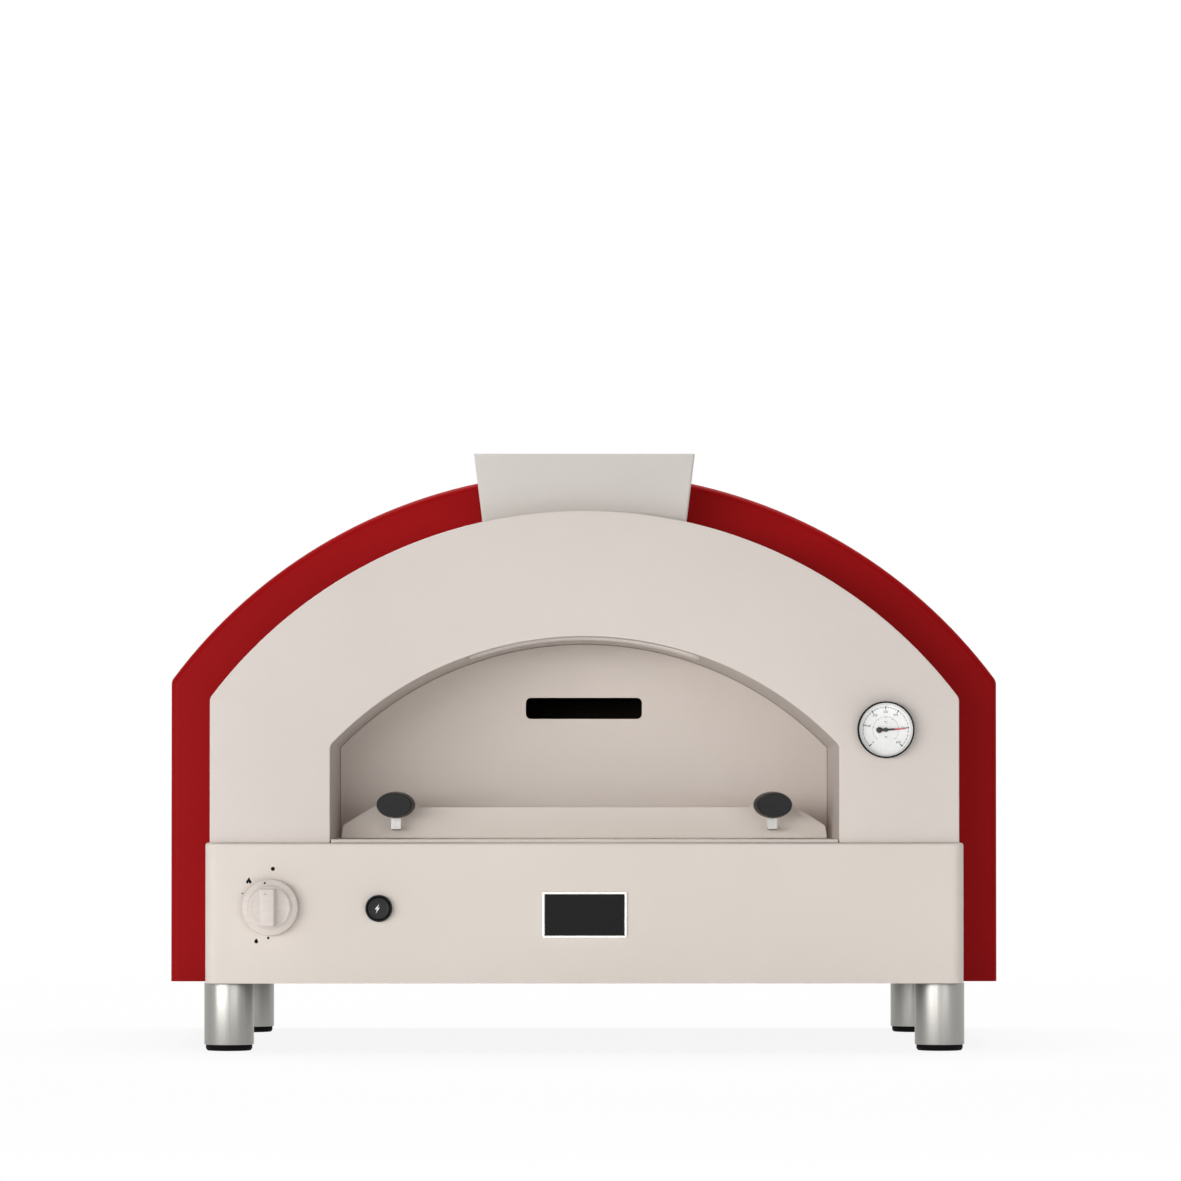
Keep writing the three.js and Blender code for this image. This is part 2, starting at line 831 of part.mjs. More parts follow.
addPiece('burner_tube', burnerTube(), brushedSteel);

const saddle = { fromRear: 61.9, thick: 3, half: 11 };
saddle.front = chamberRear - saddle.fromRear;
addPiece('burner_saddle', cut(
  block(gasLine.x - saddle.half, gasLine.x + saddle.half, saddle.front, saddle.front + saddle.thick,
    boardTop + seat, burner.z),
  barBack(burner.radius + seat, saddle.front - overrun, saddle.front + saddle.thick + overrun)
    .translate(gasLine.x, 0, burner.z),
), brushedSteel);

const guard = { clear: 9, height: 58, lip: 12 };

// The guard stands beside the tiles, its top edge folded over the burner.
function flameGuard() {
  const right = tile.left - guard.clear;
  const left = right - sheet;
  const low = boardTop + seat;
  const high = low + guard.height;
  return join(
    block(left, right, boardFront, boardRear, low, high),
    block(left - guard.lip, right, boardFront, boardRear, high - sheet, high),
  );
}

addPiece('flame_guard', flameGuard(), brushedSteel);

// Gas line: inlet, supply pipe, valve, feed pipe and injector

const valve = {
  front: sheet + seat,
  rear: 62,
  half: 17,
  below: 20,
  above: 22,
  bore: 6.5,
  boreEnd: 46,
};
valve.low = controls.knobZ - valve.below;
valve.high = controls.knobZ + valve.above;

addPiece('gas_valve_body', cut(
  block(gasLine.x - valve.half, gasLine.x + valve.half, valve.front, valve.rear, valve.low, valve.high),
  barBack(valve.bore, -overrun, valve.boreEnd).translate(controls.knobX, 0, controls.knobZ),
), brass);

const pipeSides = 8;
const supplyBend = 12;
const supplySteps = 28;
const feedSteps = 16;
const pipeRadius = gasLine.pipe / 2;
const inletFront = shell.rear - sheet - seat - inlet.inside;

addPiece('supply_pipe', pipeAlong([
  spot(gasLine.x, feedPipe.depth, valve.low - seat),
  spot(gasLine.x, feedPipe.depth, gasLine.z),
  spot(gasLine.x, inletFront - seat, gasLine.z),
], supplyBend, pipeRadius, supplySteps, pipeSides), copper);

const injector = { hexRadius: 8, hexLength: 10, tipRadius: 4, length: 24, tipInside: 2 };
injector.front = burner.front + injector.tipInside - injector.length;

addPiece('burner_feed_pipe', pipeAlong([
  spot(gasLine.x, feedPipe.depth, valve.high + seat),
  spot(gasLine.x, feedPipe.depth, burner.z),
  spot(gasLine.x, injector.front - seat, burner.z),
], feedPipe.bend, pipeRadius, feedSteps, pipeSides), copper);

addPiece('injector_nozzle', turnedBack([
  [0, 0],
  [injector.hexRadius, 0],
  [injector.hexRadius, injector.hexLength],
  [injector.tipRadius, injector.hexLength],
  [injector.tipRadius, injector.length],
  [0, injector.length],
], smallSteps), brass, addPlace(gasLine.x, injector.front, burner.z));

addPiece('gas_inlet_fitting', turnedBack([
  [0, -sheet - seat - inlet.inside],
  [inlet.hexRadius, -sheet - seat - inlet.inside],
  [inlet.hexRadius, -sheet - seat],
  [inlet.threadRadius, -sheet - seat],
  [inlet.threadRadius, seat],
  [inlet.hexRadius, seat],
  [inlet.hexRadius, seat + inlet.collar],
  [inlet.threadRadius, seat + inlet.collar],
  [inlet.threadRadius, inlet.reach],
  [inlet.boreRadius, inlet.reach],
  [inlet.boreRadius, inlet.reach - inlet.boreDepth],
  [0, inlet.reach - inlet.boreDepth],
], smallSteps), brass, addPlace(gasLine.x, shell.rear, gasLine.z));

// Ignition: push button, its housing and nut, the lead and the electrode

const igniterPlace = addPlace(controls.igniterX, 0, controls.igniterZ);
const buttonSoft = 0.8;
const buttonShank = 8;
const igniterBore = igniter.faceRadius + seat;
const igniterBoreEnd = buttonShank + igniter.travel + seat;
const igniterNut = { radius: 15, thick: 4 };

addPiece('igniter_housing', turnedBack([
  [0, igniterBoreEnd],
  [igniterBore, igniterBoreEnd],
  [igniterBore, -igniter.bezelReach],
  [igniter.bezelRadius - buttonSoft, -igniter.bezelReach],
  [igniter.bezelRadius, buttonSoft - igniter.bezelReach],
  [igniter.bezelRadius, -seat],
  [igniter.barrelRadius, -seat],
  [igniter.barrelRadius, igniter.barrelLength],
  [0, igniter.barrelLength],
], smallSteps), blackPlastic, igniterPlace);

addPiece('igniter_button', turnedBack([
  [0, -igniter.buttonReach],
  [igniter.faceRadius - buttonSoft, -igniter.buttonReach],
  [igniter.faceRadius, buttonSoft - igniter.buttonReach],
  [igniter.faceRadius, buttonShank],
  [0, buttonShank],
], smallSteps), blackPlastic, igniterPlace);

addPiece('igniter_nut', plate(
  circle(0, 0, igniterNut.radius, hexagon), sheet + seat, sheet + seat + igniterNut.thick,
  [circle(0, 0, igniter.barrelRadius + seat, smallSteps)],
), brushedSteel, igniterPlace);

const lead = { radius: 1.8, bend: 12, underShelf: 22, sides: 8, steps: 32 };
lead.turnZ = base.top - lead.underShelf;

addPiece('igniter_lead', pipeAlong([
  spot(controls.igniterX, igniter.barrelLength + seat, controls.igniterZ),
  spot(controls.igniterX, leadHole.depth, controls.igniterZ),
  spot(leadHole.x, leadHole.depth, lead.turnZ),
  spot(leadHole.x, leadHole.depth, electrode.z),
  spot(leadHole.x, electrode.front - seat, electrode.z),
], lead.bend, lead.radius, lead.steps, lead.sides), redSleeve);

addPiece('spark_electrode', turnedBack([
  [0, electrode.front],
  [electrode.radius, electrode.front],
  [electrode.radius, electrode.rear],
  [electrode.wire, electrode.rear],
  [electrode.wire, electrode.tip],
  [0, electrode.tip],
], smallSteps), whiteCeramic, addPlace(electrode.x, 0, electrode.z));

// Control knob with its brass insert, and the plunger that it pushes back

const knob = {
  rear: -5,
  skirtRadius: 27.2,
  rimFront: -8.5,
  skirtFront: -11,
  bossRadius: 20,
  bossFront: -15,
  gripFront: -27,
  gripHalfWidth: 9.6,
  gripHalfHeight: 18.4,
  draft: 0.6,
  flank: 5.4,
  soft: 1,
  boreEnd: -20,
  insertRadius: 4,
};

function knobBody() {
  const bore = knob.insertRadius + seat;
  const body = turnedBack([
    [0, knob.bossFront],
    [knob.bossRadius - knob.soft, knob.bossFront],
    [knob.bossRadius, knob.bossFront + knob.soft],
    [knob.bossRadius, knob.skirtFront],
    [knob.skirtRadius - knob.soft, knob.rimFront],
    [knob.skirtRadius, knob.rimFront + knob.soft],
    [knob.skirtRadius, knob.rear],
    [0, knob.rear],
  ]);
  const corners = [];
  for (const [depth, drawn, flank] of [[knob.skirtFront, 0, 0], [knob.gripFront, knob.draft, knob.flank]]) {
    for (const x of [-knob.gripHalfWidth + drawn, knob.gripHalfWidth - flank]) {
      corners.push(spot(x, depth, -knob.gripHalfHeight + drawn));
      corners.push(spot(x, depth, knob.gripHalfHeight - drawn));
    }
  }
  return cut(join(body, new ConvexGeometry(corners)), barBack(bore, knob.boreEnd, overrun));
}

const knobPlace = addPlace(controls.knobX, 0, controls.knobZ);
addPiece('control_knob', knobBody(), creamPaint, knobPlace);
addPiece('knob_insert', barBack(knob.insertRadius, knob.boreEnd + seat, knob.rear), brass, knobPlace);
addPiece('valve_plunger', barBack(plunger.radius, knob.rear + seat, plunger.rear), brushedSteel, knobPlace);

// Thermometer, its axis along Y and its reach counted forwards from the arch plate

const gaugePlace = addPlace(gauge.x, casing.face, gauge.z);
const pinHole = gauge.spindleRadius + seat;
const caseBore = gauge.caseRadius - gauge.caseWall;
const bezelSoft = 1;

function turnedForward(profile, steps = roundSteps) {
  return turnedBack(profile, steps).rotateX(Math.PI);
}

addPiece('gauge_case', turnedForward([
  [pinHole, seat],
  [gauge.caseRadius, seat],
  [gauge.caseRadius, gauge.caseReach],
  [caseBore, gauge.caseReach],
  [caseBore, seat + gauge.caseWall],
  [pinHole, seat + gauge.caseWall],
  [pinHole, seat],
]), darkSteel, gaugePlace);

addPiece('gauge_bezel', turnedForward([
  [gauge.caseRadius + seat, seat],
  [gauge.bezelRadius, seat],
  [gauge.bezelRadius, gauge.lipReach - bezelSoft],
  [gauge.bezelRadius - bezelSoft, gauge.lipReach],
  [gauge.lipRadius, gauge.lipReach],
  [gauge.lipRadius, gauge.caseReach + seat],
  [gauge.caseRadius + seat, gauge.caseReach + seat],
  [gauge.caseRadius + seat, seat],
]), brushedSteel, gaugePlace);

addPiece('gauge_dial', turnedForward([
  [pinHole, gauge.dialLow],
  [caseBore - seat, gauge.dialLow],
  [caseBore - seat, gauge.dialLow + gauge.dialThick],
  [pinHole, gauge.dialLow + gauge.dialThick],
  [pinHole, gauge.dialLow],
]), dialWhite, gaugePlace);

addPiece('gauge_glass', turnedForward([
  [0, gauge.glassLow],
  [caseBore - seat, gauge.glassLow],
  [caseBore - seat, gauge.glassLow + gauge.glassThick],
  [0, gauge.glassLow + gauge.glassThick],
]), clearGlass, gaugePlace);

addPiece('gauge_stem', turnedForward([
  [0, -gauge.probeTip],
  [gauge.probeRadius, -gauge.probeTip],
  [gauge.probeRadius, 0],
  [gauge.spindleRadius, 0],
  [gauge.spindleRadius, gauge.needleLow - seat],
  [0, gauge.needleLow - seat],
], smallSteps), brushedSteel, gaugePlace);

addPiece('gauge_nut', plate(
  circle(0, 0, gauge.nutRadius, hexagon), sheet + seat, sheet + seat + gauge.nutThick,
  [circle(0, 0, gauge.probeRadius + seat, smallSteps)],
), brushedSteel, gaugePlace);

const needle = {
  length: 19.5,
  rootHalf: 1.1,
  tipHalf: 0.4,
  hub: 2.4,
  weightRadius: 2.9,
  weightReach: 6.4,
  restTurn: 3 * Math.PI / 180,
};

function gaugeNeedle() {
  const front = -gauge.needleLow - gauge.needleThick;
  const rear = -gauge.needleLow;
  const pointer = [
    point(-needle.weightReach, -needle.rootHalf),
    point(needle.length, -needle.tipHalf),
    point(needle.length, needle.tipHalf),
    point(-needle.weightReach, needle.rootHalf),
  ];
  return join(
    plate(pointer, front, rear),
    plate(circle(0, 0, needle.hub, smallSteps), front, rear),
    plate(circle(-needle.weightReach, 0, needle.weightRadius, smallSteps), front, rear),
  );
}

addPiece('gauge_needle', gaugeNeedle(), blackPlastic, gaugePlace).rotation.y = -needle.restTurn;

// Door: slotted panel, lower handle plate, two stems and two oval knobs

const door = {
  thick: 4,
  clearance: 0.8,
  slotWidth: 113,
  slotHeight: 21,
  slotDrop: 69.5,
  slotCorner: 5,
};
const doorFront = throatRear - door.thick;
const doorInset = throat.taper + door.clearance;
const doorHalf = mouth.half - doorInset;
door.slotZ = mouth.top - door.slotDrop;

addPiece('door_panel', plate(
  archPoints(mouth, sillTop + seat, doorInset), doorFront, throatRear,
  [roundedRectangle(0, door.slotZ, door.slotWidth, door.slotHeight, door.slotCorner)],
), creamPaint);

const handle = {
  sideGap: 1.9,
  knobFromEnd: 54.2,
  knobRise: 32.7,
  knobWidth: 37.8,
  knobHeight: 26,
  knobDepth: 22,
  knobSoft: 3,
  bandHeight: 30,
  earRise: 3,
  earHalf: 19,
  earSlope: 4,
  endIn: 2,
  endHeight: 12.4,
  stemWidth: 9.5,
  stemThick: 3,
  stemReach: 20,
  stand: 60,
  stemRise: 8.2,
  stemHeight: 32,
};
const handleFront = doorFront - handle.stand;
const handleLow = sillTop + seat;
handle.half = doorHalf - handle.sideGap;
handle.knobX = handle.half - handle.knobFromEnd;
handle.knobZ = handleLow + handle.knobRise;
handle.stemLow = handleLow + handle.stemRise;
handle.stemHigh = handle.stemLow + handle.stemHeight;

// Half of the handle plate's outline, from its foot round to the middle of its top.
function handleHalf(sign) {
  const band = handleLow + handle.bandHeight;
  const earTop = band + handle.earRise;
  const inner = handle.knobX - handle.earHalf;
  const outer = handle.knobX + handle.earHalf;
  return [
    point(sign * handle.half, handleLow),
    point(sign * (handle.half - handle.endIn), handleLow + handle.endHeight),
    point(sign * outer, earTop),
    point(sign * inner, earTop),
    point(sign * (inner - handle.earSlope), band),
  ];
}

addPiece('door_handle_plate', join(
  plate([...handleHalf(1), ...handleHalf(-1).reverse()], handleFront, handleFront + sheet),
  block(-handle.half + handle.endIn, handle.half - handle.endIn, handleFront, doorFront - seat,
    handleLow, handleLow + sheet),
), creamPaint);

const stemRear = handleFront - seat;
const stemFront = stemRear - handle.stemReach;

// A stem's side outline: a foot on the plate and an upright that carries the knob.
const stemOutline = [
  point(stemRear, handle.stemLow),
  point(stemRear, handle.stemLow + handle.stemThick),
  point(stemFront + handle.stemThick, handle.stemLow + handle.stemThick),
  point(stemFront + handle.stemThick, handle.stemHigh),
  point(stemFront, handle.stemHigh),
  point(stemFront, handle.stemLow),
];

const oval = (width, height, inset) => circle(0, 0, 1, roundSteps)
  .map((p) => point(p.x * (width / 2 - inset), p.y * (height / 2 - inset)));

function doorKnob() {
  const rear = stemFront - seat;
  const front = rear - handle.knobDepth;
  const outline = oval(handle.knobWidth, handle.knobHeight, handle.knobSoft);
  return new THREE.ExtrudeGeometry(shapeOf(outline), {
    depth: handle.knobDepth - 2 * handle.knobSoft,
    bevelThickness: handle.knobSoft,
    bevelSize: handle.knobSoft,
    bevelSegments: 2,
  }).rotateX(Math.PI / 2).translate(0, rear - handle.knobSoft, 0);
}

for (const [side, sign] of [['left', -1], ['right', 1]]) {
  const x = sign * handle.knobX;
  addPiece(`door_stem_${side}`,
    runAcross(stemOutline, x - handle.stemWidth / 2, x + handle.stemWidth / 2), brushedSteel);
  addPiece(`door_knob_${side}`, doorKnob(), blackPlastic, addPlace(x, 0, handle.knobZ));
}

// The origin lies under the middle of the whole oven

oven.position.y = -(knob.gripFront + shell.rear + inlet.reach) / 2;

const part = new THREE.Group();
part.add(oven);

export default part;
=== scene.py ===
import math

import bmesh
import bpy
from mathutils import Matrix, Vector


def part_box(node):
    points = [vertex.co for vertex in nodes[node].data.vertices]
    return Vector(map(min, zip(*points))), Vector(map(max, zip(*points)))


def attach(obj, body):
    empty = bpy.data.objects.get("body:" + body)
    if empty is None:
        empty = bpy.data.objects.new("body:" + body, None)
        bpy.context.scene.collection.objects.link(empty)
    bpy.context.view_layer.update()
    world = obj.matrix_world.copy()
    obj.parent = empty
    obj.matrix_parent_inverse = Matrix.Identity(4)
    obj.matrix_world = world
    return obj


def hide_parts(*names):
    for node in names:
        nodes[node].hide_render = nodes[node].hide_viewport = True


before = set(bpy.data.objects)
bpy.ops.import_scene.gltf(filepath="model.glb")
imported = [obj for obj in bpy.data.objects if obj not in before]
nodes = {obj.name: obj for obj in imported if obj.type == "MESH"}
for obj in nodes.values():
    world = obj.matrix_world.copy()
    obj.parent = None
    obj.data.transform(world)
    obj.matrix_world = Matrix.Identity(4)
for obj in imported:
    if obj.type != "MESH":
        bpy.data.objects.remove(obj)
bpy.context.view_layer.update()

# Driving sizes, in metres. Depths run back from the fascia's face.

MM = 0.001
SHEET = 1.5 * MM            # wall of every folded steel panel
SEAT = 0.3 * MM             # gap between pieces that rest on each other
WELD = 0.01 * MM            # points closer than this are one point
OVERRUN = 10 * MM           # how far a cut runs past the face that it cuts
INK_LIFT = 0.05 * MM        # how far printed marks stand off what they are printed on
INK_GAP = 0.01 * MM         # gap left behind a printed mark

SHELL = {"half": 407.4 * MM, "shoulder": 357 * MM, "top": 566.7 * MM, "fillet": 10 * MM}
CASING = {"half": 363.8 * MM, "shoulder": 339.6 * MM, "top": 524.8 * MM, "fillet": 9 * MM}
MOUTH = {"half": 247.2 * MM, "shoulder": 293 * MM, "top": 402.8 * MM, "fillet": 9 * MM}
BASE = {"half": 368 * MM, "corner": 12 * MM, "fold": 2.4 * MM}
PLATE_EDGE = 1 * MM
THROAT_TAPER = 6 * MM
PANEL_BEND = 7 * MM
PANEL_FLANGE = 14 * MM
DUCT = {"slope": 0.124, "half": 94 * MM}
HOOD = {"slope": 0.12, "half": 107.5 * MM, "corner": 2.6 * MM, "foot": 480 * MM, "lip": 0.5 * MM}
VENT = {"pitch": 70 * MM, "up": 150 * MM, "width": 46 * MM, "height": 6 * MM}
VENT_COUNT = 7

# Radii of the holes that stems, pipes and leads pass through.
HOLE = {"valve": 9 * MM, "igniter": 11.3 * MM, "pipe": 6 * MM, "lead": 5 * MM, "gauge": 3.3 * MM,
        "inlet": 8.3 * MM}
# How far behind its front end the pipe or the lead climbs through the fascia's shelf.
CLIMB = {"pipe": 5 * MM, "lead": 56.3 * MM}

FOOT = {"wall": 1.6 * MM, "edge": 0.5 * MM}
PAD = {"hollow": 0.8 * MM, "hollow_radius": 15 * MM, "chamfer": 1.4 * MM, "chamfer_top": 2.2 * MM,
       "edge": 0.6 * MM}
BADGE_RIM = {"width": 2 * MM, "corner": 1.5 * MM, "window_corner": 0.4 * MM, "edge": 0.5 * MM}
BADGE_FIELD = {"corner": 0.3 * MM, "bevel": 0.25 * MM}

KNOB = {"rear": -5 * MM, "bore": 4.3 * MM, "skirt": 27.2 * MM, "rim_front": -9.8 * MM,
        "skirt_front": -11.8 * MM, "boss": 20.2 * MM, "boss_front": -15 * MM, "dish": 0.5 * MM,
        "dish_start": 2.16 * MM, "dish_end": 3.24 * MM, "lean": 1.8 * MM, "soft": 0.9 * MM}
GRIP = {"front": -27 * MM + INK_LIFT, "left": 9.6 * MM, "right": 7.2 * MM, "height": 18.4 * MM,
        "draft": 0.6 * MM, "flank": 2.6 * MM, "corner": 1.44 * MM}
# The grip's rounded front: how far it is drafted, set back and drawn in.
GRIP_SHARES = [(0.94, 1, 0), (0.97, 0.35, 0.25), (1, 0, 1)]
IGNITER = {"bezel": 13.1 * MM, "bore": 10.6 * MM, "reach": 6 * MM, "barrel": 11 * MM,
           "length": 34 * MM, "bore_end": 11.3 * MM, "flare": 0.9 * MM, "soft": 0.8 * MM}
BUTTON = {"radius": 10.3 * MM, "rim": 9.2 * MM, "dish": 8.2 * MM, "front": -9 * MM,
          "dish_front": -8.6 * MM, "middle_front": -8.5 * MM, "rear": 8 * MM, "soft": 0.6 * MM}

GAUGE = {"bezel": 27.6 * MM, "case": 26.2 * MM, "reach": 11 * MM, "curl": 0.5 * MM,
         "shoulder": 0.9 * MM, "tilt": 0.1 * MM, "soft": 0.2 * MM}
LINER = {"lip": 24.4 * MM, "front": 0.8 * MM, "knee": 1.7 * MM, "rear": 2.4 * MM, "soft": 0.3 * MM}
DIAL_DISC = {"radius": 24.5 * MM, "hole": 1.5 * MM, "front": -3 * MM, "rear": -2.2 * MM}
WINDOW = {"rear": -7.1 * MM, "front": -8.6 * MM, "crown": 0.5 * MM}
# The glass from its rim to its middle: how far out, and how far below its crown.
CROWN_SHARES = [(1, 1), (0.7, 0.3), (0.35, 0.08), (0, 0)]
NEEDLE = {"tip": 19.5 * MM, "tip_half": 0.4 * MM, "tail_half": 1.5 * MM, "thinner": 0.15 * MM,
          "red_from": 8.6 * MM, "degrees": -3}
HUB = {"radius": 2.2 * MM, "bevel": 0.5 * MM, "bevel_back": 0.3 * MM}
WEIGHT = {"radius": 2.9 * MM, "out": 6.4 * MM, "front": 0.05 * MM, "bevel": 0.3 * MM,
          "bevel_back": 0.2 * MM}

DOOR_INSET = THROAT_TAPER + SEAT
DOOR_EDGE = 0.6 * MM
TILE_EDGE = 1.5 * MM
SILL_EDGE = 0.6 * MM
SLOT = {"up": 333.3 * MM, "width": 115 * MM, "height": 21 * MM, "corner": 5 * MM}
HANDLE = {"band": 30 * MM, "ear_half": 19 * MM, "ear_slant": 4 * MM, "end_slant": 2 * MM,
          "end_rise": 12.4 * MM, "corner": 1.2 * MM, "edge": 0.35 * MM, "shelf_back": 0.2 * MM}
STEM_EDGE = 0.7 * MM
OVAL_LEAN = 2 * MM
OVAL_FLATTER = 0.7
# An oval knob from its rear to its front facet: drawn in, leaning out, and how far back it lies.
OVAL_SHARES = [(0.14, 0, 1), (0.06, 0, 0.97), (0.015, 0, 0.9), (0, 0, 0.8), (0, 0, 0.55),
               (0.02, 0.15, 0.42), (0.07, 0.5, 0.2), (0.105, 0.75, 0.08), (0.125, 0.85, 0.03),
               (0.15, 0.9, 0)]

ARCH_STEPS = 72             # facets of a wide arch
FILLET_STEPS = 6            # facets of a small rounded corner
BEND_STEPS = 5              # facets of a folded edge
ROUND_STEPS = 72            # facets of a turned piece
SMALL_ROUND_STEPS = 48      # facets of a hole and of the needle's weight
HUB_STEPS = 40              # facets of the needle's hub
DOT_STEPS = 24              # facets of a printed dot
SQUARE_EDGE = 50            # degrees: an edge sharper than this is rounded on flat plates


def deep(name, end):
    """A node's front (0) or rear (1) face, as a Y value."""
    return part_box(name)[end].y


def level(name, end):
    """A node's foot (0) or top (1), as a Z value."""
    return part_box(name)[end].z


def middle_of(name):
    low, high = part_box(name)
    return Vector(((low.x + high.x) / 2, (low.y + high.y) / 2, (low.z + high.z) / 2))


def on_face(name, y):
    """The middle of a node as seen from the front, on the face at y."""
    middle = middle_of(name)
    return Vector((middle.x, y, middle.z))


FRONT = deep("control_fascia", 0)
KNOB_PLACE = on_face("control_knob", FRONT)
BUTTON_PLACE = on_face("igniter_button", FRONT)
GAUGE_PLACE = on_face("gauge_bezel", deep("front_arch_plate", 0))


# Outlines

def arc(x, z, radius, start, end, steps):
    """Points of an arc as (x, z) pairs, both ends included."""
    turns = [start + (end - start) * i / steps for i in range(steps + 1)]
    return [(x + radius * math.cos(a), z + radius * math.sin(a)) for a in turns]


def crown_radius(shape):
    """The radius of the crown through an arch's top that meets its shoulder fillets."""
    side = shape["half"] - shape["fillet"]
    rise = shape["top"] - shape["shoulder"]
    return (side ** 2 + rise ** 2 - shape["fillet"] ** 2) / (2 * (rise - shape["fillet"]))


def arch(shape, foot, inset=0.0):
    """An arch outline drawn in by inset, from its left foot over the top to its right foot."""
    half = shape["half"] - inset
    radius = crown_radius(shape) - inset
    centre = shape["top"] - crown_radius(shape)
    fillet = max(shape["fillet"] - inset, SEAT)
    side = half - fillet
    rise = math.sqrt((radius - fillet) ** 2 - side ** 2)
    turn = math.atan2(rise, side)
    left = arc(-side, centre + rise, fillet, math.pi, math.pi - turn, FILLET_STEPS)
    over = arc(0, centre, radius, math.pi - turn, turn, ARCH_STEPS)[1:-1]
    right = arc(side, centre + rise, fillet, turn, 0, FILLET_STEPS)
    return [(-half, foot), *left, *over, *right, (half, foot)]


def arch_ring(shape, foot, inset, y):
    return [(x, y, z) for x, z in arch(shape, foot, inset)]


def rounded_rectangle(x, z, width, height, radius, steps=FILLET_STEPS):
    """A closed outline with round corners, as (x, z) pairs."""
    points = []
    for k, (across, up) in enumerate([(1, 1), (-1, 1), (-1, -1), (1, -1)]):
        start = k * math.pi / 2
        centre_x = x + across * (width / 2 - radius)
        centre_z = z + up * (height / 2 - radius)
        points += arc(centre_x, centre_z, radius, start, start + math.pi / 2, steps)
    return points


def oval(x, z, half_width, half_height, steps=ROUND_STEPS):
    turns = [2 * math.pi * i / steps for i in range(steps)]
    return [(x + half_width * math.cos(a), z + half_height * math.sin(a)) for a in turns]


def fold(radius, steps=BEND_STEPS):
    """A quarter fold from a face round to its side, as (drawn in, set back) pairs."""
    turns = [math.pi / 2 * i / steps for i in range(steps + 1)]
    return [(radius * (1 - math.sin(a)), radius * (1 - math.cos(a))) for a in turns]


def rounded_corner(before, here, after, radius, steps):
    """The points that take a corner round in a curve."""
    back, on = before - here, after - here
    reach = min(radius, back.length / 2, on.length / 2)
    start = here + back.normalized() * reach
    end = here + on.normalized() * reach
    shares = [k / steps for k in range(steps + 1)]
    return [tuple(start * (1 - t) ** 2 + here * 2 * t * (1 - t) + end * t ** 2) for t in shares]


def rounded_corners(corners, radius, steps=4):
    """A closed outline with each corner rounded off."""
    points = [Vector(corner) for corner in corners]
    rounded = []
    for before, here, after in zip(points[-1:] + points, points, points[1:] + points[:1]):
        rounded += rounded_corner(before, here, after, radius, steps)
    return rounded


def softened_profile(corners, radius, steps=3):
    """A (radius, reach) profile with its inner corners rounded off."""
    points = [Vector(corner) for corner in corners]
    rounded = [tuple(points[0])]
    for before, here, after in zip(points, points[1:], points[2:]):
        rounded += rounded_corner(before, here, after, radius, steps)
    return [*rounded, tuple(points[-1])]


# Meshes

def finished(work):
    """What a bmesh holds, as a mesh."""
    mesh = bpy.data.meshes.new("shape")
    work.to_mesh(mesh)
    work.free()
    return mesh


def tidied(mesh):
    """A mesh with welded points and faces that look outwards."""
    work = bmesh.new()
    work.from_mesh(mesh)
    bmesh.ops.remove_doubles(work, verts=work.verts, dist=WELD)
    bmesh.ops.recalc_face_normals(work, faces=work.faces)
    return finished(work)


def joined(*meshes):
    """Several meshes as one."""
    work = bmesh.new()
    for mesh in meshes:
        work.from_mesh(mesh)
    return finished(work)


def loft(rings, round_rings=False, closed=True):
    """Rings of equal count joined one to the next, and back to the first if closed, with ends filled."""
    count = len(rings[0])
    last = (len(rings) - 1) * count
    faces = []
    for k in range(len(rings) if closed else len(rings) - 1):
        here = k * count
        there = ((k + 1) % len(rings)) * count
        for i in range(count if round_rings else count - 1):
            j = (i + 1) % count
            faces.append((here + i, there + i, there + j, here + j))
    if not round_rings:
        faces.append([k * count for k in range(len(rings))])
        faces.append([k * count + count - 1 for k in range(len(rings))])
    if not closed:
        faces.append(list(range(count)))
        faces.append([last + i for i in range(count)])
    if not closed and not round_rings:
        faces.append((0, count - 1, last + count - 1, last))
    mesh = bpy.data.meshes.new("shape")
    mesh.from_pydata([point for ring in rings for point in ring], [], faces)
    return tidied(mesh)


def turned(profile, place, upright=False, steps=ROUND_STEPS):
    """A turned piece from (radius, reach) pairs along +Y, or along +Z if upright."""
    rings = []
    for radius, reach in profile:
        if upright:
            offsets = [(x, y, reach) for x, y in oval(0, 0, radius, radius, steps)]
        else:
            offsets = [(x, reach, z) for x, z in oval(0, 0, radius, radius, steps)]
        rings.append([tuple(Vector(place) + Vector(offset)) for offset in offsets])
    closed = profile[0] == profile[-1]
    return loft(rings[:-1] if closed else rings, round_rings=True, closed=closed)


def drill(radius, place, upright=False):
    """A round cutter through a face, along Y, or along Z if upright."""
    return turned([(radius, -OVERRUN), (radius, OVERRUN)], place, upright, SMALL_ROUND_STEPS)


def column(outline, layers):
    """A solid from one (x, z) outline and (drawn in, y) layers, scaled about the outline's middle."""
    xs = [x for x, z in outline]
    zs = [z for x, z in outline]
    middle = Vector(((min(xs) + max(xs)) / 2, (min(zs) + max(zs)) / 2))
    half = Vector(((max(xs) - min(xs)) / 2, (max(zs) - min(zs)) / 2))
    rings = []
    for drawn, y in layers:
        share = Vector(((half.x - drawn) / half.x, (half.y - drawn) / half.y))
        rings.append([
            (middle.x + (x - middle.x) * share.x, y, middle.y + (z - middle.y) * share.y)
            for x, z in outline
        ])
    return loft(rings, round_rings=True, closed=False)


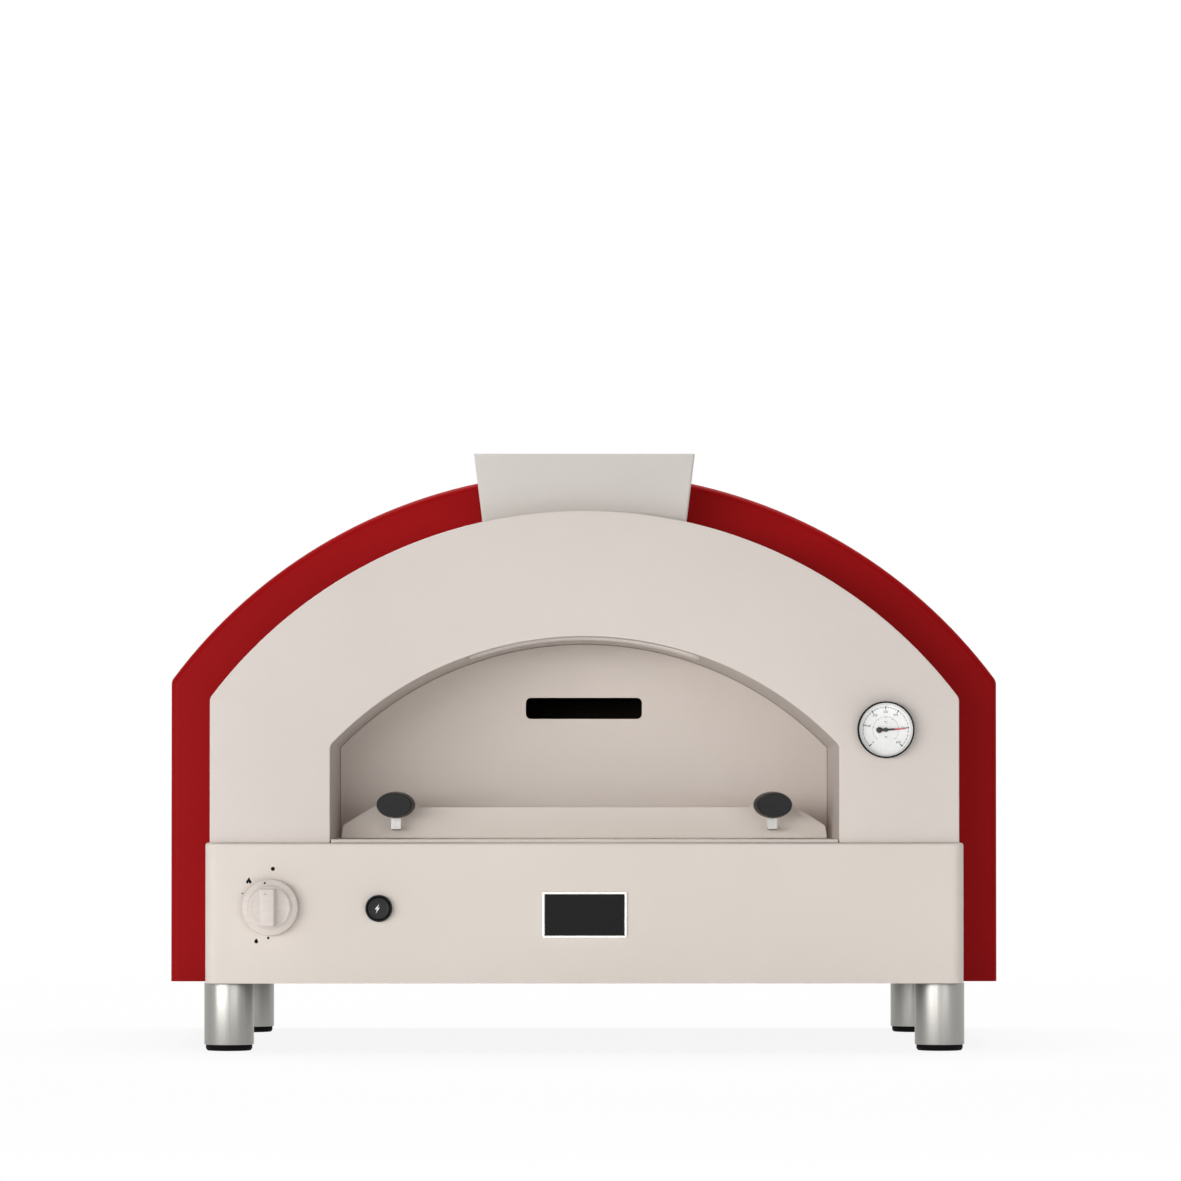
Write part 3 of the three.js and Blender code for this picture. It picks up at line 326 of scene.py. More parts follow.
def prism(outline, front, rear, holes=()):
    """An (x, z) outline with holes, filled and given depth."""
    work = bmesh.new()
    edges = []
    for loop in [outline, *holes]:
        corners = [work.verts.new((x, front, z)) for x, z in loop]
        for here, there in zip(corners, corners[1:] + corners[:1]):
            edges.append(work.edges.new((here, there)))
    filled = bmesh.ops.triangle_fill(work, use_beauty=True, edges=edges)
    faces = [item for item in filled["geom"] if isinstance(item, bmesh.types.BMFace)]
    grown = bmesh.ops.extrude_face_region(work, geom=faces)
    rear_verts = [item for item in grown["geom"] if isinstance(item, bmesh.types.BMVert)]
    bmesh.ops.translate(work, verts=rear_verts, vec=(0, rear - front, 0))
    return tidied(finished(work))


def block(low, high):
    """A plain block between two corners."""
    work = bmesh.new()
    bmesh.ops.create_cube(work, size=1)
    size = Vector(high) - Vector(low)
    place = Matrix.Translation((Vector(high) + Vector(low)) / 2) @ Matrix.Diagonal((*size, 1))
    bmesh.ops.transform(work, matrix=place, verts=work.verts)
    return finished(work)


def hull(corners):
    """The convex solid round some points."""
    work = bmesh.new()
    for corner in corners:
        work.verts.new(corner)
    bmesh.ops.convex_hull(work, input=work.verts)
    return tidied(finished(work))


def placed(name, data):
    """A new object in the scene."""
    made = bpy.data.objects.new(name, data)
    bpy.context.scene.collection.objects.link(made)
    return made


def result_of(made):
    """An object's mesh with its modifiers or its text worked out."""
    view = bpy.context.evaluated_depsgraph_get()
    return bpy.data.meshes.new_from_object(made.evaluated_get(view))


def cut(mesh, *tools):
    """A mesh with other meshes taken out of it."""
    target = placed("target", mesh)
    for tool_mesh in tools:
        tool = placed("cutter", tool_mesh)
        taken = target.modifiers.new("cut", "BOOLEAN")
        taken.object = tool
        taken.operation = "DIFFERENCE"
        taken.solver = "EXACT"
        result = result_of(target)
        target.modifiers.clear()
        target.data = result
        bpy.data.objects.remove(tool)
    bpy.data.objects.remove(target)
    return tidied(result)


def piece(name, mesh, look, body, stands_for=(), smooth=35):
    """A finished piece: shaded, given its finish, and riding on its body."""
    mesh.shade_smooth()
    mesh.set_sharp_from_angle(angle=math.radians(smooth))
    mesh.materials.clear()
    mesh.materials.append(look.material)
    made = placed(name, mesh)
    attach(made, body)
    if stands_for:
        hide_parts(*stands_for)
    return made


def soften(made, width, angle=30):
    """Rounds hard edges by a bevel, with the flat faces kept flat."""
    bevel = made.modifiers.new("softened_edges", "BEVEL")
    bevel.width = width
    bevel.segments = 3
    bevel.limit_method = "ANGLE"
    bevel.angle_limit = math.radians(angle)
    bevel.harden_normals = True
    bevel.miter_outer = "MITER_ARC"


def carried(name, look, width=0.0):
    """A CAD node that stays, welded, shaded and given its finish."""
    node = nodes[name]
    mesh = node.data
    mesh.attributes.remove(mesh.attributes["custom_normal"])
    mesh.attributes.remove(mesh.attributes["sharp_edge"])
    mesh.shade_smooth()
    weld = node.modifiers.new("weld", "WELD")
    weld.merge_threshold = WELD
    if width:
        soften(node, width)
    for held in node.material_slots:
        held.material = look.material


# Shader maths written as expressions

class Value:
    """A value that varies over a surface: a node socket with operators."""

    def __init__(self, tree, socket):
        self.tree = tree
        self.socket = socket

    def math(self, operation, *others):
        return self.tree.maths(operation, self, *others)

    def __add__(self, other):
        return self.math("ADD", other)

    def __radd__(self, other):
        return self.math("ADD", other)

    def __sub__(self, other):
        return self.math("SUBTRACT", other)

    def __rsub__(self, other):
        return self.tree.maths("SUBTRACT", other, self)

    def __mul__(self, other):
        return self.math("MULTIPLY", other)

    def __rmul__(self, other):
        return self.math("MULTIPLY", other)

    def __pow__(self, other):
        return self.math("POWER", other)

    def least(self, other):
        return self.math("MINIMUM", other)

    def above(self, limit):
        return self.math("GREATER_THAN", limit)

    def wave(self):
        return self.math("SINE")

    def across(self, low, high):
        """Runs from 0 to 1 as the value goes from low to high."""
        limits = {"Value": self, "From Min": low, "From Max": high}
        return self.tree.node("ShaderNodeMapRange", {}, limits)


class Tree:
    """A node tree, to which one method adds any node."""

    def __init__(self, tree):
        self.tree = tree

    def node(self, kind, settings, values, output=0):
        """Adds a node: its type, its settings, then its sockets' values or links."""
        made = self.tree.nodes.new(kind)
        for name, value in settings.items():
            setattr(made, name, value)
        for name, value in values.items():
            self.set(made.inputs[name], value)
        return Value(self, made.outputs[output])

    def set(self, socket, value):
        """Gives a socket a value, or links it to one that varies."""
        if isinstance(value, Value):
            self.tree.links.new(value.socket, socket)
        else:
            socket.default_value = value

    def maths(self, operation, *values):
        return self.node("ShaderNodeMath", {"operation": operation}, dict(enumerate(values)))

    def seen_directly(self):
        """1 for rays that look at a surface or the backdrop, 0 for those that light the object."""
        camera, glossy, through = [
            self.node("ShaderNodeLightPath", {}, {}, f"Is {kind} Ray")
            for kind in ("Camera", "Glossy", "Transmission")
        ]
        return (camera + glossy + through).least(1)

    def shown(self, end, share, first, second):
        """Gives the tree's end node a mix of two shaders."""
        mix = self.node("ShaderNodeMixShader", {}, {0: share, 1: first, 2: second})
        self.set(self.tree.nodes[end].inputs["Surface"], mix)


class Look(Tree):
    """One material on the Principled shader, its patterns placed in metres on the object."""

    def __init__(self, name, **uniform):
        self.material = bpy.data.materials.new(name)
        self.material.use_nodes = True
        super().__init__(self.material.node_tree)
        self.shader = self.tree.nodes["Principled BSDF"]
        self.feed(**uniform)
        self.place = self.node("ShaderNodeTexCoord", {}, {}, "Object")

    def feed(self, **sockets):
        """Links or sets the shader's own sockets."""
        for name, value in sockets.items():
            self.set(self.shader.inputs[name.replace("_", " ")], value)
        return self

    def spread(self, x, y, z):
        """The place on the surface with each axis multiplied."""
        factors = {0: self.place, 1: (x, y, z)}
        return self.node("ShaderNodeVectorMath", {"operation": "MULTIPLY"}, factors)

    def axis(self, letter):
        return self.node("ShaderNodeSeparateXYZ", {}, {0: self.place}, letter)

    def noise(self, x, y=None, z=None, detail=3.0, rough=0.5):
        """Cloudy noise, with so many lumps to a metre along each axis."""
        vector = self.spread(x, x if y is None else y, x if z is None else z)
        return self.node("ShaderNodeTexNoise", {}, {
            "Vector": vector, "Scale": 1.0, "Detail": detail, "Roughness": rough,
        }, "Fac")

    def cells(self, per_metre):
        """The distance to the nearest of many scattered points."""
        vector = self.spread(per_metre, per_metre, per_metre)
        return self.node("ShaderNodeTexVoronoi", {}, {"Vector": vector, "Scale": 1.0}, "Distance")

    def mixed(self, share, first, second):
        """A colour that runs from the first to the second, on the Mix node's colour sockets."""
        return self.node("ShaderNodeMix", {"data_type": "RGBA"}, {0: share, 6: first, 7: second}, 2)

    def raised(self, height, depth):
        """Raises the surface by a height from 0 to 1 times a real depth in metres."""
        relief = {"Height": height, "Distance": depth, "Strength": 1.0}
        return self.feed(Normal=self.node("ShaderNodeBump", {}, relief, "Normal"))


def seen(red, green, blue):
    """A colour seen as these 0 to 255 values, as the linear numbers that a shader takes."""
    def linear(value):
        share = value / 255
        return share / 12.92 if share <= 0.04045 else ((share + 0.055) / 1.055) ** 2.4
    return (linear(red), linear(green), linear(blue), 1.0)


WHITE = seen(255, 255, 255)


# Finishes

# How deep each kind of relief is.
ORANGE_PEEL = 0.05 * MM
SCRATCHES = 0.012 * MM
SPARK_TEXTURE = 0.02 * MM
TOOL_RINGS = 0.02 * MM
RUBBER_GRAIN = 0.06 * MM
BRAID = 0.1 * MM
FELT = 0.8 * MM
PIN_HOLES = 0.25 * MM
RIPPLE = 0.02 * MM


def powder_coat(name, colour, deeper, roughness, gloss=0.3):
    """Baked powder paint: a fine orange peel with faint clouding and a few dust specks."""
    look = Look(name, Specular_IOR_Level=gloss)
    clouds = look.noise(6, detail=4)
    grain = look.noise(900, detail=2)
    specks = 1 - look.cells(160).across(0.02, 0.06)
    shade = clouds * 0.75 + grain * 0.25
    look.feed(Base_Color=look.mixed(shade.across(0.3, 0.7), colour, deeper))
    look.feed(Roughness=roughness + (grain - 0.5) * 0.16 + specks * 0.12)
    return look.raised(look.noise(520, detail=2) * 0.8 + grain * 0.2, ORANGE_PEEL)


def brushed(name, colour, deeper, roughness, along, tint=None):
    """Brushed sheet steel: long fine scratches along one axis, smudged roughness."""
    look = Look(name, Metallic=1.0)
    fine = {letter: 2600 for letter in "xyz"}
    coarse = {letter: 420 for letter in "xyz"}
    for letter in along:
        fine[letter] = 14
        coarse[letter] = 5
    hair = look.noise(**fine, detail=2)
    band = look.noise(**coarse, detail=3)
    smudge = look.noise(16, detail=4)
    base = look.mixed((hair * 0.6 + band * 0.4).across(0.3, 0.7), colour, deeper)
    if tint:
        base = look.mixed(smudge.across(0.42, 0.75) * 0.8, base, tint)
    look.feed(Base_Color=base, Roughness=roughness + (hair - 0.5) * 0.22 + (smudge - 0.5) * 0.16)
    return look.raised(hair * 0.7 + band * 0.3, SCRATCHES)


def moulded(name, colour, deeper, roughness, gloss=0.4):
    """Moulded plastic: fine spark-eroded texture and faint handling marks."""
    look = Look(name, Specular_IOR_Level=gloss)
    grain = look.noise(1800, detail=2)
    marks = look.noise(60, 60, 400, detail=3)
    look.feed(Base_Color=look.mixed(marks.across(0.35, 0.7), colour, deeper))
    look.feed(Roughness=roughness + (grain - 0.5) * 0.14 + (marks - 0.5) * 0.1)
    return look.raised(grain, SPARK_TEXTURE)


def machined(name, colour, tarnish, roughness):
    """Turned brass or drawn copper: tool rings, and tarnish in soft patches."""
    look = Look(name, Metallic=1.0)
    patches = look.noise(45, detail=5, rough=0.6)
    rings = look.noise(90, 1900, 90, detail=2)
    look.feed(Base_Color=look.mixed(patches.across(0.4, 0.75), colour, tarnish))
    look.feed(Roughness=roughness + (patches - 0.5) * 0.3 + (rings - 0.5) * 0.12)
    return look.raised(rings, TOOL_RINGS)


def rubber_look(name, colour, deeper, roughness):
    look = Look(name, Specular_IOR_Level=0.1)
    grain = look.noise(700, detail=4)
    bloom = look.noise(35, detail=4)
    look.feed(Base_Color=look.mixed(bloom.across(0.35, 0.75), colour, deeper))
    look.feed(Roughness=roughness + (grain - 0.5) * 0.2)
    return look.raised(grain, RUBBER_GRAIN)


def sleeve_look(name, colour, deeper):
    """A braided sleeve: two sets of strands that cross."""
    look = Look(name, Specular_IOR_Level=0.4)
    along = look.axis("Y") + look.axis("Z")
    strands = ((along * 3600).wave() * ((look.axis("X") + along) * 2400).wave()).across(-1, 1)
    look.feed(Base_Color=look.mixed(strands, deeper, colour), Roughness=0.55 + strands * 0.2)
    return look.raised(strands, BRAID)


def wool_look(name, colour, deeper):
    """Felted fibre blanket: tangled strands in soft tufts."""
    look = Look(name, Specular_IOR_Level=0.2)
    tufts = look.noise(90, detail=6, rough=0.7)
    fibres = look.noise(1400, 260, 700, detail=4, rough=0.7)
    height = tufts * 0.6 + fibres * 0.4
    look.feed(Base_Color=look.mixed(height.across(0.35, 0.65), deeper, colour))
    look.feed(Roughness=0.85 + fibres * 0.15)
    return look.raised(height, FELT)


def stone_look(name, colour, deeper, pit):
    """Unglazed baking stone: mixed grains, pin holes and a light dusting of use."""
    look = Look(name, Specular_IOR_Level=0.25)
    grains = look.cells(700)
    clouds = look.noise(25, detail=5)
    pits = 1 - look.cells(240).across(0.06, 0.16)
    tone = look.mixed((grains * 0.5 + clouds * 0.6).across(0.3, 0.8), colour, deeper)
    look.feed(Base_Color=look.mixed(pits * 0.8, tone, pit), Roughness=0.82 + grains * 0.15)
    return look.raised(grains * 0.3 + clouds * 0.2 + (1 - pits) * 0.5, PIN_HOLES)


def glaze_look(name, colour, deeper, roughness):
    """Smooth enamel or glaze, faintly rippled."""
    look = Look(name, IOR=1.5)
    ripple = look.noise(160, detail=3)
    grain = look.noise(1500, detail=2)
    look.feed(Base_Color=look.mixed(ripple.across(0.3, 0.7), colour, deeper))
    look.feed(Roughness=roughness + (grain - 0.5) * 0.1)
    return look.raised(ripple, RIPPLE)


def glass_look(name):
    """Clear gauge glass with a faint film of dust."""
    look = Look(name, Specular_IOR_Level=0.12)
    film = look.noise(220, detail=5, rough=0.7)
    look.feed(Base_Color=look.mixed(film.across(0.3, 0.8), seen(255, 255, 255), seen(246, 249, 250)))
    return look.feed(Roughness=0.015 + film * 0.03, Alpha=0.02 + film * 0.03)


def ink_look(name, colour, deeper):
    """Printed ink, a little uneven."""
    look = Look(name, Specular_IOR_Level=0.1)
    cover = look.noise(1600, detail=3)
    look.feed(Base_Color=look.mixed(cover.across(0.35, 0.7), colour, deeper))
    return look.feed(Roughness=0.5 + (cover - 0.5) * 0.2)


def needle_look(name, black, red, middle, red_from):
    """A black pointer whose outer end is red."""
    look = Look(name, Specular_IOR_Level=0.1)
    offset_x = (look.axis("X") - middle.x) ** 2
    offset_z = (look.axis("Z") - middle.z) ** 2
    ahead = (look.axis("X") - middle.x).above(0)
    outer = (offset_x + offset_z).above(red_from ** 2) * ahead
    grain = look.noise(2000, detail=2)
    look.feed(Base_Color=look.mixed(outer, black, red), Roughness=0.5 + grain * 0.15)
    return look


def floor_look(name, colour, deeper, shadow_share, fade_start, fade_end):
    """A pale floor that keeps the object's shadow and runs out into the white backdrop."""
    look = Look(name, Specular_IOR_Level=0.1)
    clouds = look.noise(1.5, detail=4)
    look.feed(Base_Color=look.mixed(clouds.across(0.3, 0.7), colour, deeper))
    look.feed(Roughness=0.8 + (clouds - 0.5) * 0.1)
    distance = (look.axis("X") ** 2 + look.axis("Y") ** 2) ** 0.5
    bare = (1 - shadow_share) + distance.across(fade_start, fade_end) * shadow_share
    white = look.node("ShaderNodeEmission", {}, {"Color": WHITE})
    surface = Value(look, look.shader.outputs[0])
    look.shown("Material Output", bare * look.seen_directly(), surface, white)
    return look


CREAM = powder_coat("cream_powder_coat", seen(229, 220, 213), seen(224, 214, 207), 0.44)
# Painted shade: the throat's walls get the casing's cream made darker, standing in for the shade deep
# inside the mouth.
THROAT_CREAM_PAINTED_SHADE = powder_coat("throat_powder_coat_painted_shade", seen(207, 198, 191), seen(201, 192, 185), 0.48)
# Painted light: a lighter copy of the casing's cream, standing in for light that the lamps do not give
# the fascia and the door's grip plate.
FASCIA_CREAM_PAINTED_LIGHT = powder_coat("fascia_powder_coat_painted_light", seen(235, 226, 217), seen(230, 220, 211), 0.44)
HOOD_CREAM = powder_coat("hood_powder_coat", seen(220, 214, 208), seen(214, 207, 201), 0.46)
RED = powder_coat("red_powder_coat", seen(163, 15, 19), seen(156, 12, 16), 0.44, gloss=0.05)
STEEL_BACK = brushed("steel_brushed_back", seen(203, 201, 198), seen(178, 176, 172), 0.32, "y")
HOT_STEEL = brushed("steel_heat_tinted", seen(196, 192, 186), seen(170, 165, 158), 0.34, "y",
                    tint=seen(176, 146, 104))
DARK_STEEL = brushed("dark_steel", seen(96, 93, 90), seen(74, 71, 69), 0.42, "x")
GAUGE_EDGE = moulded("gauge_edge_black", seen(12, 12, 12), seen(18, 18, 18), 0.45, gloss=0.1)
BADGE = powder_coat("badge_dark_lacquer", seen(30, 30, 30), seen(25, 25, 26), 0.5, gloss=0.1)
BADGE_STEEL = machined("badge_steel", seen(232, 231, 229), seen(220, 219, 217), 0.3)
BRASS = machined("brass", seen(200, 168, 98), seen(146, 112, 62), 0.3)
COPPER = machined("copper", seen(196, 124, 88), seen(132, 78, 54), 0.32)
BLACK = moulded("black_plastic", seen(18, 18, 19), seen(26, 26, 27), 0.34, gloss=0.2)
CREAM_KNOB = moulded("cream_knob", seen(230, 221, 214), seen(225, 215, 208), 0.4)
RUBBER = rubber_look("black_rubber", seen(10, 10, 10), seen(17, 17, 17), 0.75)
SLEEVE = sleeve_look("lead_sleeve", seen(176, 52, 42), seen(120, 30, 24))
WOOL = wool_look("insulation_wool", seen(236, 232, 224), seen(206, 200, 188))
STONE = stone_look("baking_stone", seen(212, 198, 174), seen(190, 172, 144), seen(120, 104, 82))
CERAMIC = glaze_look("ceramic", seen(243, 242, 238), seen(234, 232, 226), 0.2)
DIAL = glaze_look("dial_enamel", seen(255, 255, 254), seen(251, 251, 249), 0.45)
GLASS = glass_look("gauge_glass")
INK = ink_look("black_ink", seen(6, 6, 6), seen(12, 12, 12))
WHITE_INK = ink_look("white_ink", seen(250, 249, 247), seen(240, 239, 236))
STEEL_FOOT = brushed("foot_steel", seen(158, 156, 152), seen(150, 148, 144), 0.36, "z")
STEEL_STEM = brushed("stem_steel", seen(172, 170, 167), seen(160, 158, 155), 0.3, "z")
BUTTON_BLACK = moulded("button_plastic", seen(42, 41, 42), seen(48, 47, 48), 0.45, gloss=0.15)
DOOR_CREAM = powder_coat("door_powder_coat", seen(221, 211, 203), seen(215, 205, 197), 0.44)
GAUGE_WALL = powder_coat("gauge_case_lacquer", seen(238, 238, 236), seen(226, 226, 224), 0.35)
FLOOR = floor_look("pale_floor", seen(250, 250, 250), seen(246, 246, 246), 0.1, 0.7, 2.2)


# Inside

def carry_inside():
    """The pieces inside the oven keep their CAD shape and get their finish."""
    finishes = [
        (HOT_STEEL, ["chamber_front_frame", "inner_vault", "chamber_rear_wall", "burner_tube",
                     "burner_saddle", "flame_guard", "floor_pan"]),
        (DARK_STEEL, ["base_tray", "floor_rail_left", "floor_rail_right"]),
        (STEEL_BACK, ["valve_plunger", "gauge_stem", "gauge_nut", "igniter_nut"]),
        (BRASS, ["gas_valve_body", "injector_nozzle", "gas_inlet_fitting", "knob_insert"]),
        (COPPER, ["supply_pipe", "burner_feed_pipe"]),
        (WOOL, ["insulation_blanket", "insulation_board"]),
        (CREAM, ["flue_duct"]),
        (SLEEVE, ["igniter_lead"]),
        (CERAMIC, ["spark_electrode"]),
    ]
    for look, names in finishes:
        for name in names:
            carried(name, look)
    for name in ("floor_tile_left", "floor_tile_right"):
        carried(name, STONE, TILE_EDGE)
    carried("mouth_sill", CREAM, SILL_EDGE)


# Base: fascia and feet

def fascia_plan(inset):
    """The fascia from above, as (x, y) pairs from its left rear round to its right rear."""
    half = BASE["half"] - inset
    corner = BASE["corner"] - inset
    side = BASE["half"] - BASE["corner"]
    front = FRONT + BASE["corner"]
    rear = deep("control_fascia", 1)
    left = arc(-side, front, corner, math.pi, 1.5 * math.pi, BEND_STEPS + 2)
    right = arc(side, front, corner, 1.5 * math.pi, 2 * math.pi, BEND_STEPS + 2)
    return [(-half, rear), *left, *right, (half, rear)]


def control_fascia():
    """The folded fascia: front, sides and shelf, with a rounded fold along its top edge."""
    low, high = level("control_fascia", 0), level("control_fascia", 1)
    layers = [(drawn, high - back) for drawn, back in fold(BASE["fold"])]
    layers += [(0, low), (SHEET, low)]
    layers += [(SHEET + drawn, high - SHEET - back)
               for drawn, back in reversed(fold(BASE["fold"] - SHEET))]
    return loft([[(x, y, z) for x, y in fascia_plan(inset)] for inset, z in layers], closed=False)


def build_base():
    shelf = level("control_fascia", 1)
    pipe_place = (KNOB_PLACE.x, deep("burner_feed_pipe", 0) + CLIMB["pipe"], shelf)
    lead_place = (middle_of("spark_electrode").x, deep("igniter_lead", 0) + CLIMB["lead"], shelf)
    fascia = cut(
        control_fascia(),
        drill(HOLE["valve"], KNOB_PLACE),
        drill(HOLE["igniter"], BUTTON_PLACE),
        drill(HOLE["pipe"], pipe_place, upright=True),
        drill(HOLE["lead"], lead_place, upright=True),
    )
    # The fascia takes the lighter cream, which paints in light.
    piece("fascia_panel", fascia, FASCIA_CREAM_PAINTED_LIGHT, "oven_body", ["control_fascia"])
    for end in ("front", "rear"):
        for side in ("left", "right"):
            build_foot(f"foot_tube_{end}_{side}", f"foot_pad_{end}_{side}")


def build_foot(tube_name, pad_name):
    """A steel tube and the rubber pad that is plugged into its foot."""
    low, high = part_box(tube_name)
    middle = middle_of(tube_name)
    place = (middle.x, middle.y, 0)
    radius = (high.x - low.x) / 2
    bore = radius - FOOT["wall"]
    tube = turned(softened_profile([
        (bore, middle.z), (bore, low.z), (radius, low.z),
        (radius, high.z), (bore, high.z), (bore, middle.z),
    ], FOOT["edge"]), place, upright=True)
    piece(f"{tube_name}_fine", tube, STEEL_FOOT, "oven_body", [tube_name])

    pad_low, pad_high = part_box(pad_name)
    pad_radius = (pad_high.x - pad_low.x) / 2
    hollow, hollow_radius = PAD["hollow"], PAD["hollow_radius"]
    plug, seat = bore - SEAT, low.z - SEAT
    pad = turned(softened_profile([
        (0, hollow), (hollow_radius, hollow), (hollow_radius + hollow, 0),
        (pad_radius - PAD["chamfer"], 0), (pad_radius, PAD["chamfer_top"]), (pad_radius, seat),
        (plug, seat), (plug, pad_high.z), (0, pad_high.z),
    ], PAD["edge"]), place, upright=True)
    piece(f"{pad_name}_fine", pad, RUBBER, "oven_body", [pad_name])


# Badge, left bare

def build_badge():
    low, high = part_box("badge_frame")
    middle_z = middle_of("badge_frame").z
    width, height, rim = high.x - low.x, high.z - low.z, 2 * BADGE_RIM["width"]
    outline = rounded_rectangle(0, middle_z, width, height, BADGE_RIM["corner"])
    window = rounded_rectangle(0, middle_z, width - rim, height - rim, BADGE_RIM["window_corner"])
    surround = piece("badge_surround", prism(outline, low.y, high.y, [window]), BADGE_STEEL,
                     "oven_body", ["badge_frame"])
    soften(surround, BADGE_RIM["edge"], SQUARE_EDGE)

    low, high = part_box("badge_plate")
    bevel = BADGE_FIELD["bevel"]
    field = rounded_rectangle(0, middle_z, high.x - low.x, high.z - low.z, BADGE_FIELD["corner"])
    plate = column(field, [(0, high.y), (0, low.y + bevel), (bevel, low.y)])
    piece("badge_field", plate, BADGE, "oven_body", ["badge_plate"])


# Front casing

def duct_room():
    """The room that the tapering flue duct needs, from the mouth's shoulders out through the casing."""
    front, rear = deep("flue_duct", 0) - SEAT, deep("flue_duct", 1) + SEAT
    corners = []
    for z in (MOUTH["shoulder"], CASING["top"] + OVERRUN):
        half = DUCT["half"] + DUCT["slope"] * (level("flue_duct", 1) - z) + SEAT
        corners += [(x, y, z) for x in (-half, half) for y in (front, rear)]
    return hull(corners)


def sheet_arch(name, shape, foot, outer=0.0, taper=0.0):
    """A sheet bent to an arch, as deep as its node, which can draw in towards its rear."""
    front, rear = deep(name, 0), deep(name, 1)
    inner = outer + SHEET
    rings = [(outer, front), (outer + taper, rear), (inner + taper, rear), (inner, front)]
    return loft([arch_ring(shape, foot, inset, y) for inset, y in rings])


def arch_plate():
    """The flat plate round the mouth, with its front edges rounded."""
    low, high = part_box("front_arch_plate")
    edge = fold(PLATE_EDGE)
    outer = [arch_ring(CASING, low.z, drawn, low.y + back) for drawn, back in edge]
    inner = [arch_ring(MOUTH, low.z, -drawn, low.y + back) for drawn, back in edge]
    rear = [arch_ring(CASING, low.z, 0, high.y), arch_ring(MOUTH, low.z, 0, high.y)]
    return loft(outer + rear + inner[::-1])


def build_casing():
    plate = cut(arch_plate(), drill(HOLE["gauge"], GAUGE_PLACE))
    piece("arch_face", plate, CREAM, "oven_body", ["front_arch_plate"])
    foot = level("front_arch_skirt", 0)
    skirt = cut(sheet_arch("front_arch_skirt", CASING, foot), duct_room())
    piece("arch_skirt", skirt, CREAM, "oven_body", ["front_arch_skirt"])
    throat = cut(sheet_arch("throat_arch", MOUTH, foot, -SHEET, THROAT_TAPER), duct_room())
    # The throat lining takes the darker cream, which paints in its shade.
    piece("throat_lining", throat, THROAT_CREAM_PAINTED_SHADE, "oven_body", ["throat_arch"])


def hood_ring(z, inset):
    """The flaring hood's outline at one height, as points."""
    low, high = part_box("flue_hood")
    drawn = HOOD["slope"] * (high.z - z) + inset
    width = 2 * (HOOD["half"] - drawn)
    depth = (high.y - low.y) - 2 * drawn
    corner = max(HOOD["corner"] - inset, SEAT)
    outline = rounded_rectangle(0, middle_of("flue_hood").y, width, depth, corner)
    return [(x, y, z) for x, y in outline]


def build_hood():
    low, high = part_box("flue_hood")
    foot, top, lip = HOOD["foot"], high.z, HOOD["lip"]
    layers = [(foot, 0), (top - lip, 0), (top, lip),
              (top, SHEET - lip), (top - lip, SHEET), (foot, SHEET)]
    body = loft([hood_ring(z, inset) for z, inset in layers], round_rings=True)
    ends = (low.y - OVERRUN, high.y + OVERRUN)
    casing = loft([arch_ring(CASING, MOUTH["shoulder"], -SEAT, y) for y in ends], closed=False)
    piece("hood_flare", cut(body, casing), HOOD_CREAM, "oven_body", ["flue_hood"])


# Red shell

def end_panel_rings(face, inward):
    """The rings of a dished end panel, from its outer face round its flange to its inner face."""
    foot = level("shell_skin", 0)
    outer = [*fold(PANEL_BEND), (0, PANEL_FLANGE)]
    inner = [(SHEET + drawn, SHEET + back) for drawn, back in fold(PANEL_BEND - SHEET)]
    layers = [*outer, (SHEET, PANEL_FLANGE), *reversed(inner)]
    return [arch_ring(SHELL, foot, drawn, face + inward * back) for drawn, back in layers]


def front_panel():
    """The red panel behind the casing, open for the casing and for the base."""
    foot, face = level("shell_skin", 0), deep("shell_front_panel", 0)
    rings = [arch_ring(CASING, foot, -SEAT, face), *end_panel_rings(face, 1),
             arch_ring(CASING, foot, -SEAT, face + SHEET)]
    half, top = BASE["half"] + SEAT, level("front_arch_plate", 0)
    return cut(loft(rings), block((-half, face - OVERRUN, 0), (half, face + OVERRUN, top)))


def rear_panel():
    """The red panel at the back, with a row of vents and a hole for the gas inlet."""
    face = deep("rear_panel", 1)
    holes = []
    for i in range(VENT_COUNT):
        x = (i - (VENT_COUNT - 1) / 2) * VENT["pitch"]
        corner = VENT["height"] / 2 - WELD
        outline = rounded_rectangle(x, VENT["up"], VENT["width"], VENT["height"], corner)
        holes.append(prism(outline, face - OVERRUN, face + OVERRUN))
    holes.append(drill(HOLE["inlet"], on_face("gas_inlet_fitting", face)))
    return cut(loft(end_panel_rings(face, -1), closed=False), *holes)


def build_shell():
    skin = sheet_arch("shell_skin", SHELL, level("shell_skin", 0))
    piece("red_front_panel", front_panel(), RED, "oven_body", ["shell_front_panel"])
    piece("red_outer_skin", skin, RED, "oven_body", ["shell_skin"])
    piece("red_rear_panel", rear_panel(), RED, "oven_body", ["rear_panel"])


# Marks printed where the photograph shows them

# The photograph's straight-on pixel, what lies there, and the size of one pixel at the fascia.
PHOTO = {"pixel": (550, 743), "x": -33 * MM, "z": 299 * MM, "scale": 0.97 * MM}

